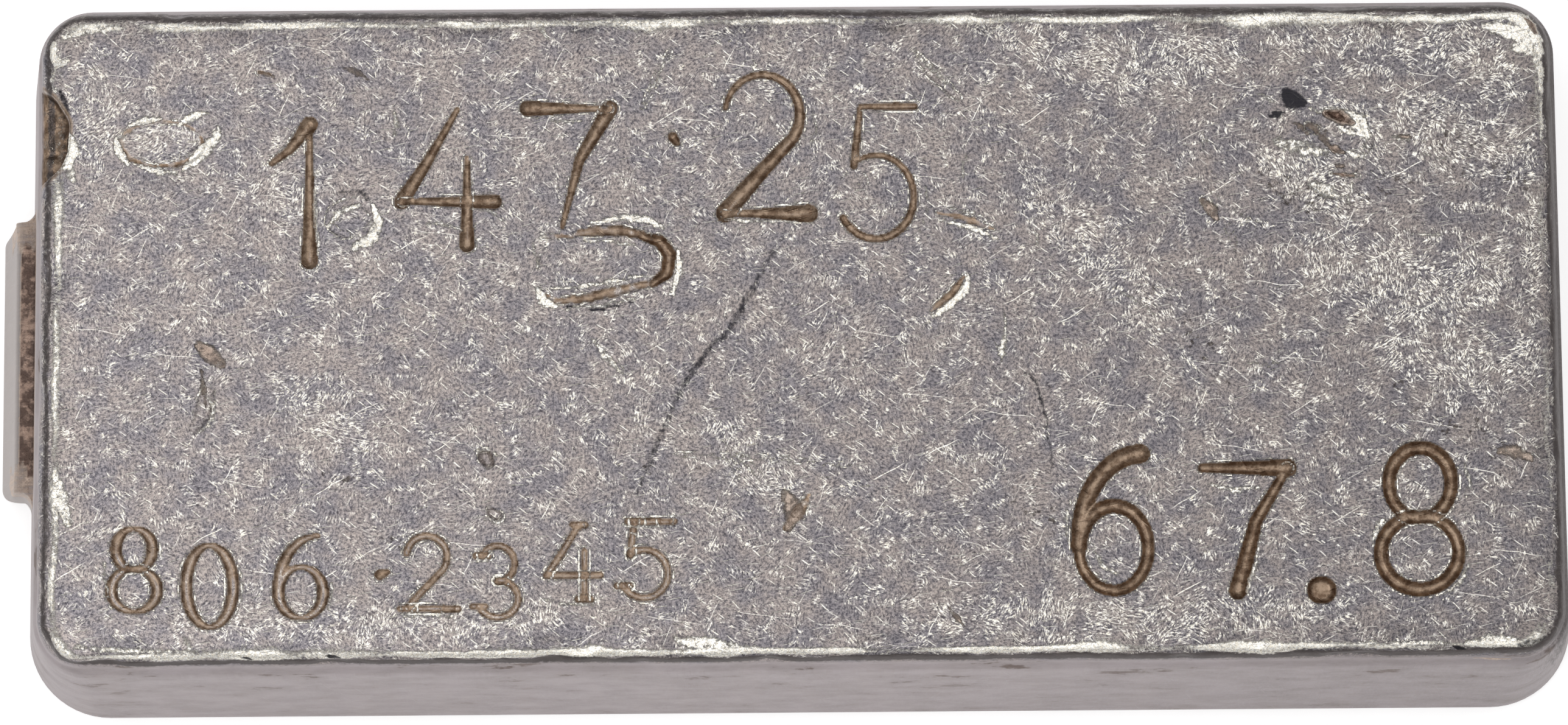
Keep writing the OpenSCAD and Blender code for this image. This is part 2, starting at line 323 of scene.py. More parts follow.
def make_damage():
    """Dents, gouges and cracks that the years left on the struck face."""
    return [
        # the ring left by a round tool, beside the cold shut
        pixel_groove(arc(267, 236, 66, 35, -20, 100, 14), (6, 12, 10, 5), 0.12,
                     floor=0.3, burr=0.05, stain=0.9, rough=0.7, hollow=0.0),
        pixel_groove(arc(267, 236, 68, 37, 100, 190, 10), (6, 9, 10, 8), 0.10,
                     floor=0.3, burr=0.04, stain=0.85, rough=0.8, hollow=0.0),
        pixel_groove(arc(267, 236, 69, 37, 200, 330, 14), (5, 8, 6, 5), 0.10,
                     floor=0.3, burr=0.05, stain=0.6, rough=0.8, hollow=0.0),
        # the horseshoe gouge: two shallow arms, and the deep bend that joins them
        pixel_groove([(888, 389), (930, 388), (968, 380), (1020, 378), (1062, 388)],
                     (4, 7, 16, 20, 14), 0.16, floor=0.35, burr=0.05, stain=0.75, rough=1.0),
        pixel_groove([(1052, 387), (1084, 396), (1100, 418), (1096, 448), (1072, 466)],
                     (14, 22, 24, 22, 14), 0.36, floor=0.15, burr=0.05, stain=1.0, rough=0.4,
                     hollow=0.0),
        pixel_groove([(1078, 462), (1030, 474), (985, 484), (948, 492), (912, 494), (896, 486)],
                     (12, 16, 18, 18, 12, 5), 0.16, floor=0.35, burr=0.05, stain=0.8, rough=1.0),
        # the open dent over the first numeral's foot
        pixel_groove(run(arc(578, 360, 38, 28, 100, 400, 18)), (8, 12, 10, 14, 10), 0.10,
                     floor=0.3, burr=0.06, stain=0.1, rough=0.6),
        # gouges right of the last numeral in the upper row
        pixel_groove([(1542, 350), (1580, 356), (1632, 376)], (6, 12, 6), 0.12,
                     floor=0.3, burr=0.04, stain=0.75, rough=0.8),
        pixel_groove([(1584, 454), (1566, 480), (1542, 500), (1528, 512)], (6, 14, 12, 5), 0.16,
                     floor=0.3, burr=0.04, stain=1.0, rough=0.6),
        pixel_groove(run(arc(1411, 297, 11, 11, 0, 360, 12)), (5, 5), 0.06,
                     floor=0.3, burr=0.03, stain=0.0),
        # the crack under the middle, and pits
        pixel_groove([(1330, 812), (1312, 842), (1290, 868)], (6, 24, 6), 0.16,
                     floor=0.2, burr=0.02, stain=1.0, rough=0.8),
        pixel_groove([(797, 750), (803, 760)], (26, 20), 0.22, floor=0.2, burr=0.05, stain=0.2),
        pixel_groove([(808, 842), (818, 848)], (18, 18), 0.16, floor=0.2, burr=0.05, stain=0.2),
        pixel_groove([(1105, 224), (1112, 234)], (18, 14), 0.30, floor=0.1, burr=0.02, stain=1.0),
        # the rough cluster at the right
        pixel_groove([(2182, 184), (2196, 187), (2212, 196)], (10, 20, 8), 0.22,
                     floor=0.2, burr=0.03, stain=0.2, rough=1.0, hollow=0.0),
        pixel_groove([(2240, 206), (2250, 228), (2244, 250)], (5, 10, 5), 0.12,
                     floor=0.3, burr=0.03, stain=0.0, rough=1.0, hollow=0.0),
        pixel_groove([(2186, 284), (2210, 287), (2232, 289)], (4, 7, 3), 0.12,
                     floor=0.3, burr=0.03, stain=0.5, rough=0.8, hollow=0.0),
        pixel_groove([(2190, 240), (2198, 246)], (12, 10), 0.14,
                     floor=0.3, burr=0.03, stain=0.2, rough=1.0),
        pixel_groove([(2150, 208), (2162, 214)], (14, 10), 0.10,
                     floor=0.3, burr=0.03, stain=0.1, rough=1.0),
        pixel_groove([(1980, 330), (1990, 350)], (16, 10), 0.06,
                     floor=0.4, burr=0.03, stain=0.1, rough=0.9),
        # dents at the left
        pixel_groove([(340, 645), (332, 680), (318, 706)], (22, 30, 14), 0.10,
                     floor=0.4, burr=0.04, stain=0.15, rough=0.8),
        pixel_groove([(425, 118), (445, 122)], (8, 6), 0.08, floor=0.2, burr=0.02, stain=1.0),
        # long shallow scores
        pixel_groove([(1979, 220), (1984, 270), (1998, 330), (2020, 380), (2045, 440)],
                     (5, 8, 6, 8, 4), 0.05, floor=0.3, burr=0.015, stain=0.15),
        pixel_groove([(1100, 85), (1078, 130), (1056, 176)], (6, 10, 4), 0.05,
                     floor=0.4, burr=0.03, stain=0.0),
        pixel_groove([(1502, 86), (1530, 118), (1574, 160)], (8, 20, 10), 0.08,
                     floor=0.4, burr=0.04, stain=0.1, rough=0.5),
        pixel_groove([(1182, 62), (1208, 80), (1238, 106)], (6, 12, 6), 0.06,
                     floor=0.4, burr=0.03, stain=0.0, rough=0.5),
        pixel_groove([(972, 560), (990, 578), (1022, 608)], (8, 16, 6), 0.07,
                     floor=0.4, burr=0.03, stain=0.0, rough=0.5),
        pixel_groove([(1100, 745), (1250, 752), (1400, 764)], (4, 7, 4), 0.03,
                     floor=0.4, burr=0.02, stain=0.0),
        pixel_groove([(1192, 722), (1220, 750), (1256, 790)], (4, 8, 4), 0.05,
                     floor=0.4, burr=0.02, stain=0.0),
        pixel_groove([(1186, 738), (1204, 762), (1212, 784)], (4, 6, 3), 0.04,
                     floor=0.4, burr=0.02, stain=0.0),
    ]


def smear(pixels, widths_px, amount=1.0, rise=0.0):
    """A soft-edged streak, with how strong it is and how high its metal stands."""
    groove = pixel_groove(pixels, widths_px, 0.0)
    groove.amount = amount
    groove.rise = rise
    return groove


def make_smears():
    """Streaks by kind: bright pushed-up metal with painted highlights, dark scrapes and brown stain.
    """
    bright = [
        # bare pushed-up metal, whose brightness is partly a painted highlight where burrs and slopes
        # catch the light
        # round the horseshoe gouge
        smear([(972, 366), (1020, 358), (1062, 360), (1090, 374)], (6, 12, 16, 8), 1.15, 0.05),
        smear([(1114, 410), (1116, 446), (1104, 484)], (6, 12, 10), 1.15, 0.05),
        smear([(884, 476), (892, 494), (914, 504)], (14, 22, 8), 1.1, 0.05),
        smear([(904, 474), (950, 472), (1010, 462), (1060, 452)], (5, 10, 8, 5), 0.98, 0.04),
        smear([(960, 396), (1000, 396), (1044, 402)], (4, 8, 5), 0.94, 0.04),
        smear([(930, 508), (985, 502), (1040, 490)], (5, 8, 5), 0.94, 0.03),
        smear([(876, 400), (882, 430), (880, 456)], (4, 9, 4), 0.76, 0.03),
        # metal pushed up beside the numerals
        smear([(515, 300), (517, 360), (522, 420)], (3, 8, 5), 0.85, 0.03),
        smear([(700, 368), (740, 370), (760, 378)], (4, 9, 4), 0.85, 0.03),
        smear([(800, 345), (815, 352), (822, 362)], (6, 10, 6), 0.85, 0.03),
        smear([(880, 195), (920, 200), (960, 198)], (3, 8, 4), 0.75, 0.03),
        smear([(1190, 360), (1250, 364), (1310, 362)], (4, 9, 5), 0.85, 0.03),
        smear([(1335, 180), (1340, 215), (1330, 245)], (4, 8, 4), 0.8, 0.03),
        smear([(1520, 300), (1526, 340), (1510, 380)], (3, 7, 3), 0.75, 0.03),
        smear([(1798, 905), (1812, 930), (1838, 944)], (5, 12, 6), 0.9, 0.03),
        smear([(1760, 820), (1752, 850), (1752, 890)], (4, 10, 5), 0.85, 0.03),
        smear([(1985, 796), (2030, 804), (2070, 802)], (4, 12, 5), 0.9, 0.03),
        smear([(2066, 920), (2054, 950), (2048, 972)], (4, 11, 6), 0.9, 0.03),
        smear([(2274, 850), (2262, 868), (2256, 890)], (6, 13, 6), 0.9, 0.03),
        smear([(2372, 976), (2398, 958), (2414, 925)], (4, 11, 4), 0.9, 0.03),
        smear([(2406, 760), (2414, 790), (2410, 820)], (4, 10, 4), 0.9, 0.03),
        smear([(168, 905), (172, 950), (180, 990)], (3, 7, 4), 0.75, 0.02),
        smear([(394, 930), (398, 970), (388, 1010)], (3, 8, 4), 0.75, 0.02),
        smear([(540, 940), (546, 970), (540, 1000)], (3, 8, 4), 0.75, 0.02),
        smear([(660, 1012), (700, 1010), (744, 1012)], (3, 8, 4), 0.75, 0.02),
        smear([(890, 984), (930, 992), (986, 994)], (3, 8, 4), 0.75, 0.02),
        smear([(1030, 872), (1050, 880), (1080, 878)], (3, 8, 4), 0.75, 0.02),
        # the ring and the open dent, where the bright crescents on their slopes are painted highlights
        smear([(358, 208), (356, 226), (342, 240), (322, 260), (300, 279)],
              (8, 20, 26, 22, 8), 1.09, 0.05),
        smear([(292, 206), (315, 192), (340, 184)], (6, 18, 8), 1.09, 0.04),
        smear([(212, 206), (238, 198), (264, 195)], (6, 15, 6), 1.09, 0.04),
        smear([(190, 228), (195, 248), (208, 268)], (10, 20, 12), 1.03, 0.04),
        smear([(228, 270), (258, 282), (292, 284)], (6, 13, 7), 1.03, 0.04),
        smear([(612, 336), (622, 366), (610, 392), (582, 406)], (8, 18, 26, 14), 1.09, 0.05),
        smear([(538, 372), (556, 350), (590, 336)], (6, 12, 8), 0.96, 0.03),
        # chips and scrapes in the upper half
        smear([(884, 30), (890, 48), (900, 64)], (8, 16, 6), 0.74, 0.03),
        smear([(1502, 86), (1530, 112), (1574, 152)], (6, 12, 5), 0.74, 0.03),
        smear([(1100, 85), (1078, 130), (1056, 176)], (4, 8, 3), 0.74, 0.02),
        smear([(972, 556), (990, 578), (1018, 610)], (6, 14, 8), 0.83, 0.03),
        smear([(645, 180), (652, 200), (648, 225)], (8, 14, 6), 0.73, 0.03),
        smear([(1590, 250), (1580, 275), (1586, 300)], (3, 8, 3), 0.73, 0.02),
        smear([(1700, 372), (1706, 395), (1702, 408)], (3, 8, 3), 0.74, 0.03),
        smear([(1545, 362), (1590, 372), (1640, 392)], (4, 12, 6), 1.07, 0.03),
        smear([(1560, 342), (1600, 350), (1636, 366)], (3, 6, 3), 0.92, 0.03),
        smear([(1592, 450), (1586, 478), (1562, 500), (1534, 520)], (6, 16, 14, 8), 1.22, 0.03),
        smear([(1655, 500), (1652, 540), (1646, 582)], (5, 10, 14), 0.92, 0.02),
        smear([(1634, 560), (1646, 590), (1650, 600)], (4, 10, 4), 0.73, 0.02),
        smear([(1826, 470), (1860, 490), (1896, 515)], (3, 8, 3), 0.73, 0.02),
        smear([(2206, 184), (2232, 200), (2246, 224)], (14, 34, 14), 1.04, 0.04),
        smear([(2198, 208), (2216, 216), (2236, 222)], (8, 16, 8), 1.0, 0.04),
        smear([(2214, 250), (2230, 256), (2242, 258)], (7, 14, 7), 1.0, 0.04),
        smear([(2098, 232), (2130, 242), (2176, 250)], (20, 34, 18), 0.79, 0.04),
        smear([(2154, 302), (2178, 313), (2200, 322)], (14, 28, 12), 0.95, 0.04),
        smear([(2222, 298), (2219, 318), (2214, 334)], (3, 7, 3), 1.0, 0.03),
        smear([(2150, 178), (2170, 184), (2182, 182)], (4, 9, 4), 0.92, 0.04),
        smear([(2330, 252), (2360, 258), (2396, 258)], (3, 7, 3), 0.74, 0.02),
        smear([(2282, 222), (2300, 228), (2320, 232)], (6, 12, 4), 0.74, 0.02),
        smear([(2306, 380), (2322, 384), (2380, 388)], (5, 10, 4), 0.83, 0.02),
        smear([(2024, 344), (2050, 358), (2072, 364)], (4, 8, 4), 0.74, 0.02),
        smear([(2062, 150), (2080, 160), (2096, 170)], (4, 9, 4), 0.83, 0.03),
        smear([(2050, 596), (2085, 600), (2110, 594)], (4, 8, 3), 0.73, 0.02),
        # around the crack and the pits
        smear([(1186, 722), (1210, 752), (1250, 790)], (2, 4, 2), 0.73, 0.01),
        smear([(1212, 730), (1216, 758), (1214, 782)], (2, 4, 2), 0.72, 0.01),
        smear([(1100, 745), (1250, 752), (1400, 764)], (2, 3, 2), 0.72, 0.01),
        smear([(332, 640), (352, 670), (345, 696), (326, 712)], (4, 10, 12, 4), 0.72, 0.03),
        smear([(775, 742), (800, 738), (822, 752)], (4, 9, 4), 0.73, 0.03),
        smear([(795, 852), (812, 858), (830, 850)], (4, 8, 4), 0.73, 0.03),
        smear([(1318, 804), (1322, 816), (1310, 828)], (3, 9, 3), 0.72, 0.02),
        # crumpled corners and edges; along the front edge the streaks are a painted highlight line
        smear([(104, 60), (150, 46), (200, 46)], (14, 22, 10), 0.98, 0.02),
        smear([(84, 70), (82, 90), (96, 104), (112, 100)], (14, 22, 16, 8), 1.3, 0.02),
        smear([(88, 108), (84, 130), (90, 150)], (8, 14, 8), 0.78, 0.02),
        smear([(112, 222), (118, 244), (112, 272)], (12, 30, 14), 1.3, 0.03),
        smear([(102, 262), (112, 280), (122, 298)], (10, 24, 10), 0.79, 0.02),
        smear([(2440, 42), (2480, 50), (2532, 62)], (16, 34, 20), 1.1, 0.03),
        smear([(2490, 78), (2512, 76), (2536, 82)], (20, 36, 20), 0.98, 0.03),
        smear([(2528, 96), (2534, 116), (2532, 140)], (18, 22, 10), 0.98, 0.02),
        smear([(2530, 120), (2536, 160), (2534, 230)], (10, 16, 8), 0.79, 0.02),
        smear([(88, 770), (98, 822), (112, 862)], (12, 34, 14), 0.98, 0.02),
        smear([(1112, 1050), (1150, 1058), (1212, 1062)], (12, 34, 12), 0.98, 0.03),
        smear([(392, 1076), (406, 1074), (422, 1080)], (8, 22, 8), 0.98, 0.02),
        smear([(2234, 1056), (2250, 1058), (2266, 1060)], (10, 20, 10), 0.88, 0.02),
        smear([(2284, 1058), (2330, 1056), (2380, 1058)], (10, 18, 10), 0.88, 0.02),
        smear([(2411, 1058), (2450, 1056), (2488, 1052)], (16, 32, 16), 1.07, 0.02),
        smear([(300, 1042), (310, 1060), (304, 1072)], (6, 12, 5), 0.78, 0.02),
        smear([(120, 1062), (240, 1074), (372, 1076)], (10, 22, 10), 0.78, 0.01),
    ]
    dark = [
        # the diagonal scrape, in steps
        smear([(1362, 292), (1330, 340), (1298, 384)], (6, 20, 8), 0.49),
        smear([(1290, 380), (1262, 430), (1236, 470)], (10, 26, 12), 0.61),
        smear([(1246, 456), (1200, 540), (1170, 570)], (12, 22, 12), 0.79),
        smear([(1176, 560), (1130, 620), (1104, 670)], (14, 18, 12), 0.88),
        smear([(1108, 664), (1070, 750), (1038, 836)], (12, 16, 6), 0.79),
        smear([(1560, 140), (1536, 168), (1514, 196)], (16, 26, 12), 0.39),
        # spots of black
        smear([(2114, 152), (2122, 164), (2140, 168)], (20, 36, 18), 1.5),
        smear([(2086, 190), (2100, 187), (2108, 186)], (5, 14, 7), 1.5),
        smear([(2184, 184), (2196, 188), (2208, 194)], (8, 14, 8), 1.1),
        smear([(2192, 242), (2198, 246)], (9, 9), 0.9),
        smear([(2140, 206), (2152, 212), (2166, 216)], (8, 16, 8), 0.75),
        smear([(2240, 240), (2252, 246), (2258, 238)], (6, 12, 6), 0.7),
        smear([(1103, 222), (1108, 228), (1114, 236)], (10, 16, 10), 1.0),
        # dark streaks at the right
        smear([(1664, 604), (1690, 612), (1706, 640)], (3, 8, 5), 0.8),
        smear([(1700, 620), (1712, 660), (1722, 700)], (5, 9, 6), 0.94),
        smear([(1716, 700), (1728, 740), (1732, 790)], (6, 9, 5), 0.81),
        smear([(1508, 700), (1506, 740), (1500, 790)], (4, 8, 4), 0.54),
        smear([(2100, 530), (2104, 560), (2100, 590)], (5, 10, 5), 0.61),
        smear([(1984, 260), (2010, 330), (2042, 430)], (3, 6, 3), 0.54),
        smear([(900, 402), (884, 420), (890, 448)], (6, 12, 6), 0.54),
        smear([(930, 504), (985, 508), (1040, 496)], (4, 8, 4), 1.08),
        smear([(556, 316), (596, 316), (606, 330)], (8, 14, 8), 0.81),
        # notches and worn-off grime at the edge
        smear([(538, 1078), (546, 1084), (556, 1086)], (8, 14, 8), 1.3),
        smear([(398, 1086), (404, 1088), (412, 1092)], (6, 10, 6), 1.2),
        smear([(2392, 1066), (2399, 1070), (2408, 1074)], (8, 14, 8), 1.4),
        smear([(2500, 1060), (2530, 1060), (2556, 1050)], (20, 30, 20), 0.9),
        smear([(98, 150), (106, 168), (112, 188)], (8, 14, 8), 1.0),
        # under the left half
        smear([(640, 700), (700, 712), (760, 705)], (20, 40, 20), 0.25),
        smear([(1620, 880), (1720, 905), (1790, 890)], (30, 60, 30), 0.25),
    ]
    brown = [
        smear([(326, 566), (344, 582), (366, 600)], (16, 34, 16), 1.0),
        smear([(330, 610), (334, 640), (338, 668)], (8, 14, 6), 0.7),
        smear([(1290, 812), (1306, 838), (1296, 866)], (20, 36, 18), 0.9),
        smear([(1976, 330), (1990, 345), (1998, 358)], (14, 26, 12), 0.9),
        smear([(2462, 740), (2490, 742), (2516, 752)], (14, 26, 12), 0.9),
        smear([(560, 110), (586, 118), (604, 130)], (8, 16, 8), 0.7),
        smear([(425, 118), (440, 122), (452, 128)], (6, 12, 6), 0.8),
        smear([(530, 780), (560, 790), (590, 786)], (16, 24, 12), 0.4),
        smear([(620, 880), (680, 900), (720, 890)], (20, 30, 20), 0.35),
        smear([(1560, 1000), (1574, 1016), (1584, 1030)], (6, 12, 5), 0.8),
        smear([(2511, 28), (2520, 40), (2525, 54)], (8, 16, 8), 1.4),
        smear([(2428, 1112), (2458, 1118), (2488, 1120)], (6, 12, 6), 1.0),
        smear([(2178, 186), (2200, 190), (2222, 202)], (14, 28, 12), 1.15),
        smear([(2184, 240), (2198, 247), (2206, 250)], (8, 18, 8), 1.0),
        smear([(2186, 284), (2210, 287), (2232, 289)], (3, 8, 3), 1.2),
        smear([(2190, 270), (2202, 273), (2214, 276)], (3, 7, 3), 0.9),
        smear([(2296, 222), (2308, 224), (2318, 226)], (6, 10, 5), 1.0),
        smear([(1010, 762), (1090, 772), (1180, 770)], (16, 26, 16), 0.3),
        smear([(1640, 780), (1700, 840), (1760, 850)], (30, 50, 30), 0.3),
        smear([(2060, 300), (2190, 330), (2300, 300)], (60, 120, 60), 0.32),
        smear([(2330, 200), (2420, 260), (2500, 300)], (60, 110, 60), 0.30),
        smear([(2300, 640), (2400, 700), (2500, 760)], (50, 90, 50), 0.30),
        smear([(1900, 480), (1980, 560), (2010, 640)], (40, 80, 40), 0.28),
        smear([(2150, 205), (2170, 215), (2180, 235)], (16, 26, 16), 0.7),
        smear([(2120, 200), (2140, 210), (2150, 220)], (8, 14, 8), 0.7),
    ]
    grain = [
        # patches where small chips crowd together
        smear([(2080, 262), (2140, 282), (2200, 300)], (40, 80, 40), 0.8),
        smear([(2190, 170), (2240, 205), (2262, 250)], (30, 60, 30), 1.0),
        smear([(2150, 320), (2200, 335), (2240, 330)], (24, 50, 24), 1.0),
        smear([(2180, 430), (2320, 470), (2450, 450)], (90, 170, 90), 0.6),
        smear([(2300, 570), (2400, 600), (2500, 590)], (80, 150, 80), 0.5),
        smear([(2100, 60), (2250, 80), (2400, 70)], (60, 110, 60), 0.45),
        smear([(2290, 180), (2400, 230), (2500, 260)], (80, 140, 80), 0.5),
        smear([(2520, 330), (2526, 400), (2520, 470)], (30, 50, 30), 0.8),
        smear([(1720, 80), (1860, 120), (2010, 90)], (70, 120, 70), 0.5),
        smear([(1700, 330), (1820, 420), (1900, 520)], (70, 110, 70), 0.45),
        smear([(2350, 60), (2420, 90), (2480, 140)], (60, 100, 60), 0.6),
        smear([(150, 120), (160, 180), (150, 260)], (60, 90, 60), 0.5),
        smear([(420, 300), (470, 330), (520, 290)], (50, 90, 50), 0.5),
        smear([(300, 1020), (600, 1030), (900, 1010)], (40, 70, 40), 0.5),
        smear([(1500, 1010), (1800, 1020), (2200, 1000)], (50, 90, 50), 0.5),
        smear([(1180, 700), (1240, 760), (1300, 800)], (60, 110, 60), 0.5),
        smear([(480, 640), (560, 700), (600, 760)], (60, 100, 60), 0.45),
        smear([(230, 205), (270, 235), (310, 225)], (40, 70, 40), 0.6),
        smear([(1600, 40), (1650, 50), (1700, 40)], (40, 60, 40), 0.5),
    ]
    return {"bright": bright, "dark": dark, "brown": brown, "grain": grain}


# The skin of the struck side, in unrolled coordinates about the block's middle


def unroll(points):
    """Nearest point of the corner-axis rectangle, outward direction and distance from it."""
    anchor = np.clip(points, -AXIS, AXIS)
    off = points - anchor
    rho = np.hypot(off[:, 0], off[:, 1])
    out = off / np.maximum(rho, 1e-9)[:, None]
    return anchor, out, rho


def roll_up(points):
    """Places and outward normals of the skin at unrolled points."""
    anchor, out, rho = unroll(points)
    past = rho - HEAD_RHO
    angle = math.pi / 2 - np.clip(past, 0, ARC_LENGTH) / STRUCK_EDGE
    down = np.maximum(past - ARC_LENGTH, 0)
    on_wall = past > ARC_LENGTH
    reach = np.where(past <= 0, rho, HEAD_RHO + STRUCK_EDGE * np.cos(angle) + down * math.sin(DRAFT))
    z = np.where(past <= 0, HEIGHT,
                 HEIGHT - STRUCK_EDGE * (1 - np.sin(angle)) - down * math.cos(DRAFT))
    level = np.where(past <= 0, 0, np.cos(np.where(on_wall, DRAFT, angle)))
    rise = np.where(past <= 0, 1, np.sin(np.where(on_wall, DRAFT, angle)))
    place = np.column_stack([anchor + out * reach[:, None], z])
    normal = np.column_stack([out * level[:, None], rise])
    return place, normal, past


def edge_depth(points, past):
    """How far wear has crumpled the edge inwards."""
    roll_off = 0.09 * smooth(past, -1.5, 0.6)
    weight = smooth(past, -1.1, 0.1) * (1 - 0.75 * smooth(past, 0.9, 1.7))
    wave = 0.10 * (0.5 + 0.5 * ripple(points, 5.5, 11))
    nick = 0.16 * smooth(ripple(points, 1.5, 12), 0.25, 0.95)
    crinkle = 0.05 * (0.5 + 0.5 * ripple(points, 0.45, 13))
    return roll_off + weight * (wave + nick + crinkle)


def by_side(out, back, front, lip_end, far_end):
    """A value for each outward direction, blended between the four walls."""
    share_y = out[:, 1] ** 2
    along = np.where(out[:, 1] > 0, back, front)
    ends = np.where(out[:, 0] < 0, lip_end, far_end)
    return along * share_y + ends * (1 - share_y)


def far_end_dark(past, out):
    """The end wall away from the lip is dark for most of its height."""
    return 1.0 * np.maximum(out[:, 0], 0) ** 2 * (1 - smooth(past, 4, 11))


def edge_highlight_and_shade(points, past, out):
    """Painted highlight along the start of the rounded edge, and a band of painted shade from where it
    ends down to the wall.
    """
    corner = 4 * (out[:, 0] * out[:, 1]) ** 2
    share_of_front = np.where(out[:, 1] < 0, out[:, 1] ** 2, 0)
    crest = by_side(out, -0.08, 0.38, -0.20, -0.02) + 0.10 * ripple(points, 2.4, 14)
    crest = crest - 0.12 * share_of_front * smooth(points[:, 0], -10, 15)
    crest = crest + 0.06 * ripple(points, 0.7, 15)
    spread = 0.22 + 0.24 * smooth(ripple(points, 3.6, 16), 0.0, 0.9) + 0.25 * corner
    strength = by_side(out, 1.3, 1.65, 1.1, 0.6) * (0.75 + 0.5 * ripple(points, 2.0, 17))
    strength = strength + 0.45 * np.maximum(out[:, 1], 0) * smooth(points[:, 0], 22, 28)
    # painted highlight: a bright line where the edge starts to round, strongest at the front and at
    # the far end of the back edge
    edge_highlight = strength * np.exp(-((past - crest) / spread) ** 2)
    # painted shade: a dark band from just past the highlight down the rounded edge and the top of the
    # wall
    start = crest + by_side(out, 0.26, 0.30, 0.30, 0.34) + 0.10 * ripple(points, 1.3, 18)
    edge_shade_and_dark_end = smooth(past, start - 0.06, start + 0.14)
    edge_shade_and_dark_end = edge_shade_and_dark_end * by_side(out, 0.9, 1.45, 0.85, 1.0)
    fade = by_side(out, 0.25, 0.8, 0.8, 0.25)
    edge_shade_and_dark_end = edge_shade_and_dark_end * (1 - fade * smooth(past, start + 0.36, start + 0.80))
    edge_shade_and_dark_end = edge_shade_and_dark_end * (1 - smooth(past, 1.4, 2.3))
    return edge_highlight, np.maximum(edge_shade_and_dark_end, far_end_dark(past, out) * smooth(past, start - 0.06, start + 0.14))


# The face sits this far under the CAD's, so that a raised burr stays inside its box.
FACE_SINK = 0.045


def relief(points, past, grooves):
    """Depth under the skin, and the amounts of stain and of bare metal with its painted highlight, at
    unrolled points.
    """
    depth = np.full(len(points), FACE_SINK)
    depth += 0.022 * ripple(points, 9.0, 1) + 0.012 * ripple(points, 3.1, 2)
    depth += 0.006 * ripple(points, 1.1, 3)
    for share_x, share_y, diameter, deep in DENTS:
        middle = np.array([share_x * FACE_LENGTH, share_y * FACE_WIDTH]) / 2
        off = np.hypot(*(points - middle).T) / (diameter / 2)
        depth += deep * np.maximum(1 - off ** 2, 0)
    stain = np.zeros(len(points))
    bare_and_highlight = np.zeros(len(points))
    burrs = np.zeros(len(points))
    sunk = np.zeros(len(points))
    for groove in grooves:
        pick = groove.near(points)
        if not len(pick):
            continue
        here = points[pick]
        rim, width, share = groove.rim(here)
        rim = rim + groove.rough * 0.05 * ripple(here, 0.3, 21) + 0.008 * ripple(here, 0.25, 22)
        inside = np.clip(-rim / np.maximum(width * (1 - groove.floor), 1e-6), 0, 1)
        bowl = 1 - (1 - inside) ** 1.5
        full = groove.depth * np.clip(width * PIXELS_PER_MM / 13, 0.25, 1)
        cut = full * bowl * (1 + 0.25 * groove.rough * ripple(here, 0.35, 23))
        sunk[pick] = np.maximum(sunk[pick], np.where(rim < 0, cut, 0))
        lump = np.exp(-((rim - 0.06) / 0.06) ** 2) * (0.6 + 0.6 * ripple(here, 0.5, 24))
        burrs[pick] = np.maximum(burrs[pick], np.where(rim > -0.02, groove.burr * lump, 0))
        patchy = 1 - groove.rough * 0.8 * smooth(ripple(here, 0.32, 27), -0.2, 0.6)
        clean = groove.hollow * smooth(-rim / np.maximum(width, 1e-6), 0.60, 0.95)
        clean = clean * (0.75 + 0.5 * ripple(here, 0.6, 28))
        dirt = groove.stain * patchy * (1 - clean) * smooth(-rim, 0.0, 0.04)
        stain[pick] = np.maximum(stain[pick], dirt)
        # painted highlight: a bright line of bare metal along each groove's burr, where it catches the
        # light
        shine = np.exp(-((rim - 0.045) / 0.045) ** 2) * smooth(ripple(here, 0.9, 25), -1.0, 0.4)
        bare_and_highlight[pick] = np.maximum(bare_and_highlight[pick], 1.5 * shine * min(1, groove.burr * 40))
    return depth + sunk - np.where(sunk > 0.01, 0, burrs), stain, bare_and_highlight, sunk


def soft_mask(points, smears):
    """How strongly the smears cover each point, and how far they raise it."""
    cover = np.zeros(len(points))
    rise = np.zeros(len(points))
    for line in smears:
        pick = line.near(points)
        if not len(pick):
            continue
        rim, width, _ = line.rim(points[pick])
        inside = 1 - smooth((rim + width) / np.maximum(width, 1e-6), 0.45, 1.35)
        cover[pick] = np.maximum(cover[pick], line.amount * inside)
        lumps = 0.5 + 0.5 * ripple(points[pick], 0.28, 26)
        rise[pick] = np.maximum(rise[pick], line.rise * inside * lumps)
    return cover, rise


def feature_gap(points, grooves):
    """Distance to the nearest groove's rim or inside."""
    gap = np.full(len(points), 9.0)
    for groove in grooves:
        pick = groove.near(points)
        if len(pick):
            rim, _, _ = groove.rim(points[pick])
            gap[pick] = np.minimum(gap[pick], np.maximum(rim, 0))
    return gap


FINE = 0.088
LEVELS = 4


